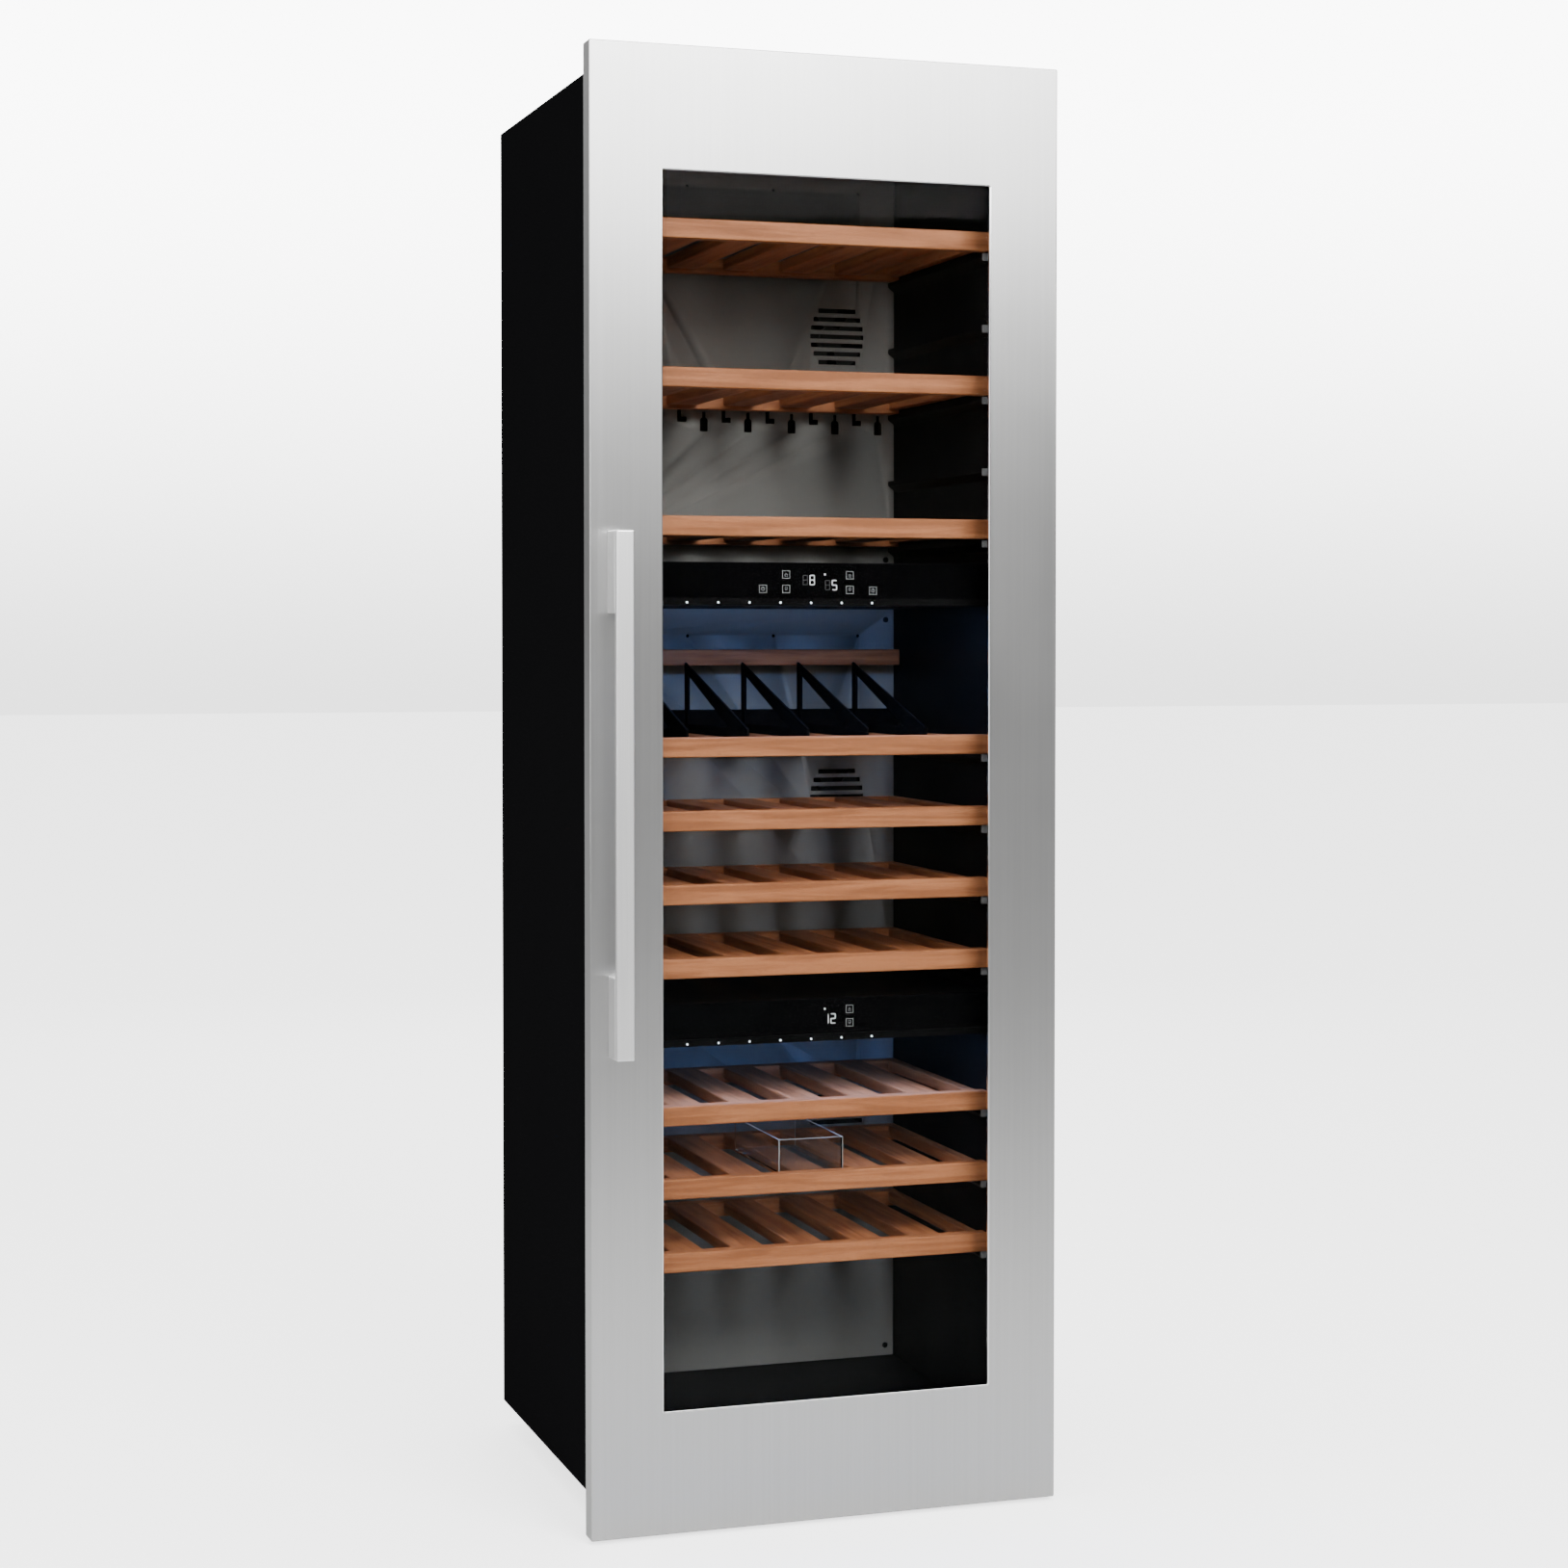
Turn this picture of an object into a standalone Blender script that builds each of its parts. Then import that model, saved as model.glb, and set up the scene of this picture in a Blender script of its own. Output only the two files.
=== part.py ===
"""Tall built-in wine cooler with three temperature zones.

The origin is at the middle of the footprint, on the floor. +Z is up, the door faces -Y and +X is to the
right of a person who stands in front of it. Depths are counted from the door's front face to the back.
"""

import math

import bmesh
import bpy
from mathutils import Matrix, Vector

# Overall size
DOOR_WIDTH = 0.595
DOOR_HEIGHT = 1.770
DOOR_LIFT = 0.004  # the door's bottom edge above the floor
DOOR_THICKNESS = 0.026
HANDLE_REACH = 0.041
DEPTH = 0.560  # from the door's front face to the rear cover
CASE_WIDTH = 0.551
CASE_BOTTOM = 0.034
CASE_TOP = 1.7545
CASE_FRONT = 0.034  # depth at which the cabinet starts, behind the gasket
FIT = 0.0003  # gap between pieces that touch
PAST = 0.01  # how far a cut runs on beyond the surface it opens

# Cabinet walls
SHEET = 0.001
BASE_SHEET = 0.002
LINER = 0.002
LINER_HALF_WIDTH = 0.2325
LINER_FLOOR = 0.094
LINER_CEILING = 1.709
LINER_BACK = 0.462  # depth of the liner's rear wall behind the evaporators
LINER_STEP_BACK = 0.402  # depth of its rear wall in front of the machine compartment
LINER_STEP_TOP = 0.287
MACHINE_FRONT = 0.425
MACHINE_TOP = 0.262

# Door
WINDOW_HALF_WIDTH = 0.208
WINDOW_BORDER = 0.1475  # steel above and below the window
HINGE_X = 0.2855
HINGE_DEPTH = 0.016
HINGE_NOTCH_DEPTH = 0.0105  # the notches in the door start at this depth
HINGE_PLATE = 0.004
HANDLE_X = -0.2650
HANDLE_WIDTH = 0.022
HANDLE_THICKNESS = 0.009
HANDLE_BOTTOM = 0.579
HANDLE_LENGTH = 0.621
HANDLE_POST_HEIGHT = 0.097

# Shelves
SHELF_PITCH = 0.0891
FIRST_SHELF_TOP = 0.3304
SHELF_STEPS = (0, 1, 2, 4, 5, 6, 7, 10, 12, 14)
LEDGE_STEPS = (0, 1, 2, 4, 5, 6, 7, 10, 11, 12, 13, 14)
DISPLAY_STEP = 7
TRAY_STEP = 1
SHELF_HALF_WIDTH = 0.227
SHELF_FRONT = 0.048
SHELF_BACK = 0.384
RAIL_HEIGHT = 0.024
RAIL_THICKNESS = 0.018
SLAT_SPACING = 0.0776
SLAT_WIDTH = 0.042
SLAT_DROP = 0.004  # the slats lie this much below the front rail's top
SLAT_THICKNESS = 0.015
LEDGE_REACH = 0.012

# Zones
BACK_PLATE = 0.400
BACK_PLATE_SHEET = 0.0015
PANEL_FRONT = 0.050
PANEL_GLASS = 0.003
UPPER_PANEL_TOP = 1.166
LOWER_PANEL_TOP = 0.632
PANEL_HEIGHT = 0.043
LIGHT_LIP = 0.009
FAN_RADIUS = 0.046
LEVELLING_FOOT_X = 0.200
LEVELLING_FOOT_DEPTHS = (0.110, 0.500)

FRONT = HANDLE_REACH - (DEPTH + HANDLE_REACH) / 2  # Y of the door's front face
DOOR_TOP = DOOR_LIFT + DOOR_HEIGHT
PANEL_HALF_WIDTH = 0.2315
ROUND_SIDES = 24

for old in list(bpy.data.objects):
    bpy.data.objects.remove(old)


def finish(name, colour, roughness, metallic=0.0):
    material = bpy.data.materials.new(name)
    material.use_nodes = True
    shader = material.node_tree.nodes["Principled BSDF"]
    shader.inputs["Base Color"].default_value = (*colour, 1.0)
    shader.inputs["Roughness"].default_value = roughness
    shader.inputs["Metallic"].default_value = metallic
    return material


STEEL = finish("brushed_steel", (0.62, 0.62, 0.61), 0.32, 1.0)
BLACK_SHEET = finish("black_painted_steel", (0.012, 0.012, 0.013), 0.45)
LINER_PLASTIC = finish("black_liner_plastic", (0.018, 0.018, 0.020), 0.5)
FOAM = finish("insulation_foam", (0.75, 0.68, 0.45), 0.9)
FRAME_PLASTIC = finish("door_frame_plastic", (0.02, 0.02, 0.02), 0.4)
DOOR_GLASS = finish("door_glass", (0.75, 0.77, 0.76), 0.05)
SPACER_METAL = finish("spacer_aluminium", (0.55, 0.56, 0.57), 0.35, 1.0)
SEAL_RUBBER = finish("seal_rubber", (0.02, 0.02, 0.02), 0.7)
BEECH = finish("beech", (0.60, 0.30, 0.17), 0.5)
PLATE_METAL = finish("painted_back_plate", (0.55, 0.55, 0.53), 0.45)
BLACK_GLASS = finish("panel_black_glass", (0.008, 0.008, 0.009), 0.08)
BOARD = finish("circuit_board", (0.02, 0.16, 0.07), 0.5)
LAMP = finish("lamp_lens", (0.85, 0.92, 1.0), 0.3)
FIN_METAL = finish("evaporator_aluminium", (0.70, 0.71, 0.72), 0.4, 1.0)
BLACK_PLASTIC = finish("black_plastic", (0.02, 0.02, 0.02), 0.5)
COMPRESSOR_PAINT = finish("compressor_enamel", (0.02, 0.02, 0.022), 0.35)
ZINC = finish("zinc_plated_steel", (0.60, 0.60, 0.58), 0.4, 1.0)
ACRYLIC = finish("clear_acrylic", (0.85, 0.86, 0.87), 0.05)


def pivot(name, x, depth, z):
    """An empty that carries one moving group, on its joint's axis."""
    empty = bpy.data.objects.new(name, None)
    empty.location = (x, FRONT + depth, z)
    empty.empty_display_size = 0.05
    bpy.context.scene.collection.objects.link(empty)
    return empty


def add_box(mesh, box, shift):
    """One box as (x0, x1, depth0, depth1, z0, z1), moved by -shift into its group's own frame."""
    x0, x1, depth0, depth1, z0, z1 = box
    size = Vector((x1 - x0, depth1 - depth0, z1 - z0))
    middle = Vector(((x0 + x1) / 2, FRONT + (depth0 + depth1) / 2, (z0 + z1) / 2)) - shift
    matrix = Matrix.Translation(middle) @ Matrix.Diagonal((*size, 1.0))
    bmesh.ops.create_cube(mesh, size=1.0, matrix=matrix)


def add_rod(mesh, start, end, radius, shift, sides=ROUND_SIDES, end_radius=None):
    """A round bar, or a cone where end_radius differs, from start to end in world coordinates."""
    start = Vector(start)
    end = Vector(end)
    run = end - start
    turn = run.to_track_quat("Z", "Y").to_matrix().to_4x4()
    matrix = Matrix.Translation((start + end) / 2 - shift) @ turn
    far = radius if end_radius is None else end_radius
    bmesh.ops.create_cone(
        mesh, cap_ends=True, segments=sides, radius1=radius, radius2=far, depth=run.length, matrix=matrix
    )


def add_prism(mesh, outline, low, high, shift, axis="Y"):
    """An outline extruded along an axis. Along Y it holds (x, z) points, along X (y, z), along Z (x, y)."""
    places = {
        "X": lambda a, b, along: (along, a, b),
        "Y": lambda a, b, along: (a, along, b),
        "Z": lambda a, b, along: (a, b, along),
    }[axis]
    near = [mesh.verts.new(Vector(places(a, b, low)) - shift) for a, b in outline]
    far = [mesh.verts.new(Vector(places(a, b, high)) - shift) for a, b in outline]
    faces = [mesh.faces.new(near), mesh.faces.new(list(reversed(far)))]
    for index in range(len(outline)):
        after = (index + 1) % len(outline)
        faces.append(mesh.faces.new((near[after], near[index], far[index], far[after])))
    bmesh.ops.recalc_face_normals(mesh, faces=faces)


class Piece:
    """One sub-part: it starts as a solid, and is cut and joined until it is settled."""

    def __init__(self, name, material, group=None):
        self.name = name
        self.group = group
        self.shift = Vector(group.location) if group else Vector()
        self.solid = self.new_object(name)
        self.solid.data.materials.append(material)

    def new_object(self, name):
        made = bpy.data.objects.new(name, bpy.data.meshes.new(name))
        bpy.context.scene.collection.objects.link(made)
        made.parent = self.group
        return made

    def fill(self, target, boxes=(), rods=(), prisms=()):
        mesh = bmesh.new()
        for box in boxes:
            add_box(mesh, box, self.shift)
        for rod in rods:
            add_rod(mesh, shift=self.shift, **rod)
        for prism in prisms:
            add_prism(mesh, shift=self.shift, **prism)
        mesh.to_mesh(target.data)
        mesh.free()

    def start(self, **shapes):
        self.fill(self.solid, **shapes)
        return self

    def combine(self, operation, shapes):
        tool = self.new_object(self.name + "_tool")
        self.fill(tool, **shapes)
        modifier = self.solid.modifiers.new(operation.lower(), "BOOLEAN")
        modifier.operation = operation
        modifier.solver = "EXACT"
        modifier.object = tool
        bpy.context.view_layer.update()
        evaluated = self.solid.evaluated_get(bpy.context.evaluated_depsgraph_get())
        result = bpy.data.meshes.new_from_object(evaluated)
        self.solid.modifiers.clear()
        self.solid.data = result
        bpy.data.objects.remove(tool)
        return self

    def cut(self, **shapes):
        return self.combine("DIFFERENCE", shapes)

    def join(self, **shapes):
        return self.combine("UNION", shapes)

    def smooth(self, degrees=35):
        self.solid.data.shade_smooth()
        self.solid.data.set_sharp_from_angle(angle=math.radians(degrees))
        return self


# Cabinet

INNER_HALF = CASE_WIDTH / 2 - SHEET  # inner face of the side panels
COVER_INSET = 0.003  # how far the rear cover lies inside the side panels' rear edges
COVER_BACK = DEPTH - COVER_INSET
COVER = COVER_BACK - SHEET  # depth of the rear cover's inner face
LINER_OUTER = LINER_HALF_WIDTH + LINER
FRONT_FLANGE_TOP = LINER_CEILING + LINER + FIT
FRONT_FLANGE_BOTTOM = LINER_FLOOR - LINER - FIT
COVER_SEAM = MACHINE_TOP - 0.0015  # the rear cover ends here, and the grille begins
VENT_ROWS = 12
VENT_SPACING = 0.0125
VENT_LOW = 0.100
VENT_X = 0.120  # middle of each of the two columns of vents
VENT_HALF_WIDTH = 0.085
VENT_HEIGHT = 0.005
INLET_X = 0.205
INLET_Z = 0.072
INLET_WIDTH = 0.030
INLET_HEIGHT = 0.022


def side_panel(name, side):
    outer = side * CASE_WIDTH / 2
    inner = side * INNER_HALF
    flange = side * (LINER_OUTER + FIT)
    left, right = sorted((outer, inner))
    flange_left, flange_right = sorted((flange, outer))
    panel = Piece(name, BLACK_SHEET)
    panel.start(boxes=[(left, right, CASE_FRONT, DEPTH, CASE_BOTTOM, CASE_TOP)])
    flange_box = (
        flange_left,
        flange_right,
        CASE_FRONT,
        CASE_FRONT + SHEET,
        FRONT_FLANGE_BOTTOM + FIT,
        FRONT_FLANGE_TOP - FIT,
    )
    return panel.join(boxes=[flange_box])


BASE_FOOT_HOLE = 0.0056
FOAM_FOOT_HOLE = 0.0075
FOAM_FOOT_HOLE_TOP = 0.056


def foot_holes(radius, high):
    """Round holes above the feet, from the floor up to a height."""
    holes = []
    for x in (-LEVELLING_FOOT_X, LEVELLING_FOOT_X):
        for depth in LEVELLING_FOOT_DEPTHS:
            y = FRONT + depth
            holes.append({"start": (x, y, 0.0), "end": (x, y, high), "radius": radius, "sides": 12})
    return holes


def top_panel():
    half = INNER_HALF - FIT
    panel = Piece("top_panel", BLACK_SHEET)
    panel.start(boxes=[(-half, half, CASE_FRONT, DEPTH, CASE_TOP - SHEET, CASE_TOP)])
    return panel.join(
        boxes=[(-half, half, CASE_FRONT, CASE_FRONT + SHEET, FRONT_FLANGE_TOP, CASE_TOP - SHEET / 2)]
    )


def base_panel():
    half = INNER_HALF - FIT
    panel = Piece("base_panel", BLACK_SHEET)
    panel.start(boxes=[(-half, half, CASE_FRONT, DEPTH, CASE_BOTTOM, CASE_BOTTOM + BASE_SHEET)])
    panel.join(
        boxes=[(-half, half, CASE_FRONT, CASE_FRONT + SHEET, CASE_BOTTOM + SHEET, FRONT_FLANGE_BOTTOM)]
    )
    return panel.cut(rods=foot_holes(BASE_FOOT_HOLE, CASE_BOTTOM + PAST))


def rear_cover():
    half = INNER_HALF - FIT
    cover = Piece("rear_cover", ZINC)
    return cover.start(boxes=[(-half, half, COVER, COVER_BACK, COVER_SEAM, CASE_TOP - SHEET - FIT)])


def rear_grille():
    half = INNER_HALF - FIT
    grille = Piece("rear_grille", BLACK_SHEET)
    low = CASE_BOTTOM + BASE_SHEET + FIT
    grille.start(boxes=[(-half, half, COVER, COVER_BACK, low, COVER_SEAM - FIT)])
    slots = []
    for row in range(VENT_ROWS):
        z = VENT_LOW + row * VENT_SPACING
        for middle in (-VENT_X, VENT_X):
            left = middle - VENT_HALF_WIDTH
            right = middle + VENT_HALF_WIDTH
            slots.append((left, right, COVER - PAST, DEPTH + PAST, z, z + VENT_HEIGHT))
    grille.cut(boxes=slots)
    inlet_hole = (
        INLET_X - INLET_WIDTH / 2 - FIT,
        INLET_X + INLET_WIDTH / 2 + FIT,
        COVER - PAST,
        DEPTH + PAST,
        INLET_Z - INLET_HEIGHT / 2 - FIT,
        INLET_Z + INLET_HEIGHT / 2 + FIT,
    )
    return grille.cut(boxes=[inlet_hole])


def liner_steps(wall, front):
    """The liner's upper space and the shallower one in front of the machine compartment."""
    half = LINER_HALF_WIDTH + wall
    upper = (-half, half, front, LINER_BACK + wall, LINER_STEP_TOP - wall, LINER_CEILING + wall)
    lower = (-half, half, front - 0.0001, LINER_STEP_BACK + wall, LINER_FLOOR - wall, LINER_CEILING / 2)
    return upper, lower


def shelf_top(step):
    return FIRST_SHELF_TOP + step * SHELF_PITCH


LEDGE_FRONT = 0.060
LEDGE_BACK = 0.392
LEDGE_FACE = 0.006
LEDGE_HEIGHT = 0.016


def ledge(side, step):
    """A moulded rib that carries one side of a shelf, sloping away below."""
    top = shelf_top(step) - RAIL_HEIGHT - FIT
    wall = side * (LINER_HALF_WIDTH + LINER / 2)
    tip = side * (LINER_HALF_WIDTH - LEDGE_REACH)
    outline = [(wall, top), (tip, top), (tip, top - LEDGE_FACE), (wall, top - LEDGE_HEIGHT)]
    return {"outline": outline, "low": FRONT + LEDGE_FRONT, "high": FRONT + LEDGE_BACK}


def inner_liner():
    liner = Piece("inner_liner", LINER_PLASTIC)
    upper, lower = liner_steps(LINER, CASE_FRONT)
    liner.start(boxes=[upper])
    liner.join(boxes=[(*lower[:2], CASE_FRONT, *lower[3:])])
    for space in liner_steps(0.0, CASE_FRONT - PAST):
        liner.cut(boxes=[space])
    ledges = [ledge(side, step) for side in (-1, 1) for step in LEDGE_STEPS]
    return liner.join(prisms=ledges)


def insulation():
    half = INNER_HALF - FIT
    foam = Piece("insulation_foam", FOAM)
    front = CASE_FRONT + SHEET + FIT
    low = CASE_BOTTOM + BASE_SHEET + FIT
    high = CASE_TOP - SHEET - FIT
    foam.start(boxes=[(-half, half, front, COVER - FIT, low, high)])
    for space in liner_steps(LINER + FIT, CASE_FRONT - PAST):
        foam.cut(boxes=[space])
    foam.cut(boxes=[(-CASE_WIDTH, CASE_WIDTH, MACHINE_FRONT, DEPTH + PAST, 0.0, MACHINE_TOP)])
    holes = foot_holes(FOAM_FOOT_HOLE, FOAM_FOOT_HOLE_TOP)
    front_feet = [rod for rod in holes if rod["start"][1] < 0]
    return foam.cut(rods=front_feet)


# Cooling

# Each zone's lowest and highest point, and the height of its fan
ZONES = {
    "upper": (UPPER_PANEL_TOP, LINER_CEILING, 1.480),
    "middle": (LOWER_PANEL_TOP, UPPER_PANEL_TOP - PANEL_HEIGHT - LIGHT_LIP, 0.860),
    "lower": (LINER_FLOOR, LOWER_PANEL_TOP - PANEL_HEIGHT - LIGHT_LIP, 0.430),
}
FAN_X = 0.150
FAN_DEPTH = 0.432
CONDENSER_FAN_X = 0.085
CONDENSER_FAN_DEPTH = 0.512
CONDENSER_FAN_Z = 0.180
CONDENSER_FAN_RADIUS = 0.055
CONDENSER_HALF_WIDTH = 0.085
MACHINE_FLOOR = CASE_BOTTOM + BASE_SHEET + FIT
FAN_SLOT_ROWS = 7
FAN_SLOT_SPACING = 0.012
FAN_SLOT_HALF_WIDTH = 0.035
FAN_SLOT_HEIGHT = 0.006
AIR_SLOT_COUNT = 9
AIR_SLOT_SPACING = 0.045
AIR_SLOT_LOW = 1.360
AIR_SLOT_WIDTH = 0.006
AIR_SLOT_HEIGHT = 0.014


def back_plate(zone):
    """A punched sheet steel cover, with slots for its fan and, in the upper zone, a row of air slots."""
    low, high, fan_z = ZONES[zone]
    half = LINER_HALF_WIDTH - 2 * FIT
    back = BACK_PLATE + BACK_PLATE_SHEET
    plate = Piece(zone + "_back_plate", PLATE_METAL)
    plate.start(boxes=[(-half, half, BACK_PLATE, back, low + FIT * 2, high - FIT * 2)])
    through = (BACK_PLATE - PAST, back + PAST)
    openings = []
    for row in range(FAN_SLOT_ROWS):
        z = fan_z + (row - (FAN_SLOT_ROWS - 1) / 2) * FAN_SLOT_SPACING - FAN_SLOT_HEIGHT / 2
        left = FAN_X - FAN_SLOT_HALF_WIDTH
        right = FAN_X + FAN_SLOT_HALF_WIDTH
        openings.append((left, right, *through, z, z + FAN_SLOT_HEIGHT))
    if zone == "upper":
        for column in range(AIR_SLOT_COUNT):
            x = (column - (AIR_SLOT_COUNT - 1) / 2) * AIR_SLOT_SPACING - AIR_SLOT_WIDTH / 2
            top = AIR_SLOT_LOW + AIR_SLOT_HEIGHT
            openings.append((x, x + AIR_SLOT_WIDTH, *through, AIR_SLOT_LOW, top))
    return plate.cut(boxes=openings)


COIL_LEFT = -0.200
COIL_RIGHT = 0.080
COIL_FRONT = 0.412
COIL_PLATE = 0.006
COIL_BACK = 0.450
COIL_HALF_HEIGHT = 0.060
COIL_FIN_SPACING = 0.034
FIN = 0.002  # thickness of one fin
FIN_MARGIN = 0.004
FIN_COUNT = 9


def evaporator(zone):
    """A finned coil behind the back plate, beside the fan."""
    fan_z = ZONES[zone][2]
    coil = Piece(zone + "_evaporator", FIN_METAL)
    low = fan_z - COIL_HALF_HEIGHT
    high = fan_z + COIL_HALF_HEIGHT
    plate_back = COIL_FRONT + COIL_PLATE
    coil.start(boxes=[(COIL_LEFT, COIL_RIGHT, COIL_FRONT, plate_back, low, high)])
    fins = []
    for index in range(FIN_COUNT):
        x = COIL_LEFT + FIN_MARGIN + index * COIL_FIN_SPACING
        fin_front = COIL_FRONT + COIL_PLATE / 2
        fins.append((x - FIN / 2, x + FIN / 2, fin_front, COIL_BACK, low + FIN_MARGIN, high - FIN_MARGIN))
    return coil.join(boxes=fins)


BLADE_COUNT = 5
BLADE_SPREAD = 0.85
BLADE_THICKNESS = 0.004
BLADE_STEPS = 3
HUB_SHARE = 0.36
HUB_LENGTH = 0.018


def blade_outline(centre_x, centre_z, radius, hub, angle, spread):
    """A blade seen along the axis: a swept sector from inside the hub to the tip."""
    points = []
    for index in range(BLADE_STEPS + 1):
        turn = angle + spread * index / BLADE_STEPS
        points.append((centre_x + radius * math.cos(turn), centre_z + radius * math.sin(turn)))
    inner = hub * 0.6
    for index in range(BLADE_STEPS, -1, -1):
        turn = angle + 0.25 * spread + 0.5 * spread * index / BLADE_STEPS
        points.append((centre_x + inner * math.cos(turn), centre_z + inner * math.sin(turn)))
    return points


def fan(name, x, depth, z, radius, group):
    """An axial fan wheel: a hub and five blades."""
    wheel = Piece(name, BLACK_PLASTIC, group)
    y = FRONT + depth
    hub = radius * HUB_SHARE
    near = (x, y - HUB_LENGTH / 2, z)
    far = (x, y + HUB_LENGTH / 2, z)
    wheel.start(rods=[{"start": near, "end": far, "radius": hub, "sides": 16}])
    blades = []
    for index in range(BLADE_COUNT):
        outline = blade_outline(x, z, radius, hub, index * math.tau / BLADE_COUNT, BLADE_SPREAD)
        blades.append({"outline": outline, "low": y - BLADE_THICKNESS / 2, "high": y + BLADE_THICKNESS / 2})
    return wheel.join(prisms=blades)


COMPRESSOR_X = -0.120
COMPRESSOR_DEPTH = 0.492
COMPRESSOR_RADIUS = 0.058
COMPRESSOR_TOP_RADIUS = 0.034
COMPRESSOR_WALL = 0.095  # height of its straight side
COMPRESSOR_HEIGHT = 0.125
COMPRESSOR_PLATE_HALF_WIDTH = 0.065
COMPRESSOR_PLATE = 0.004


def compressor():
    """The hermetic steel pot on its foot plate."""
    pot = Piece("compressor", COMPRESSOR_PAINT)
    x = COMPRESSOR_X
    y = FRONT + COMPRESSOR_DEPTH
    half = COMPRESSOR_PLATE_HALF_WIDTH
    floor = MACHINE_FLOOR
    shoulder = floor + COMPRESSOR_WALL
    top = floor + COMPRESSOR_HEIGHT
    radius = COMPRESSOR_RADIUS
    pot.start(boxes=[(x - half, x + half, 0.440, 0.545, floor, floor + COMPRESSOR_PLATE)])
    side_low = (x, y, floor + COMPRESSOR_PLATE / 2)
    pot.join(rods=[{"start": side_low, "end": (x, y, shoulder), "radius": radius}])
    dome_low = (x, y, shoulder - 0.005)
    dome = {"start": dome_low, "end": (x, y, top), "radius": radius, "end_radius": COMPRESSOR_TOP_RADIUS}
    pot.join(rods=[dome])
    return pot.smooth()


DISH_FRONT = 0.436
DISH_BACK = 0.548
DISH_HEIGHT = 0.040
DISH_WALL = 0.002


def condensate_tray():
    """The dish on top of the compressor where defrost water evaporates."""
    tray = Piece("condensate_tray", BLACK_PLASTIC)
    low = MACHINE_FLOOR + COMPRESSOR_HEIGHT + FIT
    left = COMPRESSOR_X - COMPRESSOR_PLATE_HALF_WIDTH
    right = COMPRESSOR_X + COMPRESSOR_PLATE_HALF_WIDTH
    wall = DISH_WALL
    tray.start(boxes=[(left, right, DISH_FRONT, DISH_BACK, low, low + DISH_HEIGHT)])
    inside = (
        left + wall,
        right - wall,
        DISH_FRONT + wall,
        DISH_BACK - wall,
        low + wall,
        low + DISH_HEIGHT + PAST,
    )
    return tray.cut(boxes=[inside])


CONDENSER_FRONT = 0.440
CONDENSER_PLATE = 0.006
CONDENSER_BACK = 0.480
CONDENSER_LOW = 0.110
CONDENSER_HIGH = 0.250
CONDENSER_FIN_SPACING = 0.020


def condenser():
    """A fin and tube block in front of its fan."""
    block = Piece("condenser", FIN_METAL)
    left = CONDENSER_FAN_X - CONDENSER_HALF_WIDTH
    right = CONDENSER_FAN_X + CONDENSER_HALF_WIDTH
    plate_back = CONDENSER_FRONT + CONDENSER_PLATE
    block.start(boxes=[(left, right, CONDENSER_FRONT, plate_back, CONDENSER_LOW, CONDENSER_HIGH)])
    fin_front = CONDENSER_FRONT + CONDENSER_PLATE / 2
    fin_low = CONDENSER_LOW + FIN_MARGIN
    fin_high = CONDENSER_HIGH - FIN_MARGIN
    fins = []
    for index in range(FIN_COUNT):
        x = left + FIN_MARGIN + FIN / 2 + index * CONDENSER_FIN_SPACING
        fins.append((x - FIN / 2, x + FIN / 2, fin_front, CONDENSER_BACK, fin_low, fin_high))
    return block.join(boxes=fins)


INLET_FRONT = 0.532
INLET_WALL = 0.003
INLET_FLOOR = 0.540
INLET_PIN_BACK = 0.556
INLET_PIN = 0.002
INLET_PIN_SPACING = 0.007


def mains_inlet():
    """The socket that takes a loose mains lead."""
    inlet = Piece("mains_inlet", BLACK_PLASTIC)
    left = INLET_X - INLET_WIDTH / 2
    right = INLET_X + INLET_WIDTH / 2
    low = INLET_Z - INLET_HEIGHT / 2
    high = INLET_Z + INLET_HEIGHT / 2
    wall = INLET_WALL
    inlet.start(boxes=[(left, right, INLET_FRONT, COVER_BACK + 0.002, low, high)])
    inlet.cut(boxes=[(left + wall, right - wall, INLET_FLOOR, DEPTH + PAST, low + wall, high - wall)])
    pins = []
    for index in range(-1, 2):
        x = INLET_X + index * INLET_PIN_SPACING - INLET_PIN / 2
        pin_low = INLET_Z - INLET_PIN
        pin_high = INLET_Z + INLET_PIN
        pins.append((x, x + INLET_PIN, INLET_FLOOR - INLET_PIN, INLET_PIN_BACK, pin_low, pin_high))
    return inlet.join(boxes=pins)


# Control panels between the zones


PANEL_LIP_DEPTH = 0.004
BOARD_HALF_WIDTH = 0.155
BOARD_LOW = 0.034  # below the panel's top
BOARD_HIGH = 0.008
BOARD_GAP = 0.004
BOARD_THICKNESS = 0.0016
DISPLAY_LEFT = -0.020
DISPLAY_RIGHT = 0.035
STRIP_LEFT = -0.204
STRIP_RIGHT = 0.119
STRIP_FRONT = 0.005  # behind the panel's front
STRIP_BACK = 0.011
STRIP_HEIGHT = 0.003
STRIP_GAP = 0.001


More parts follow.
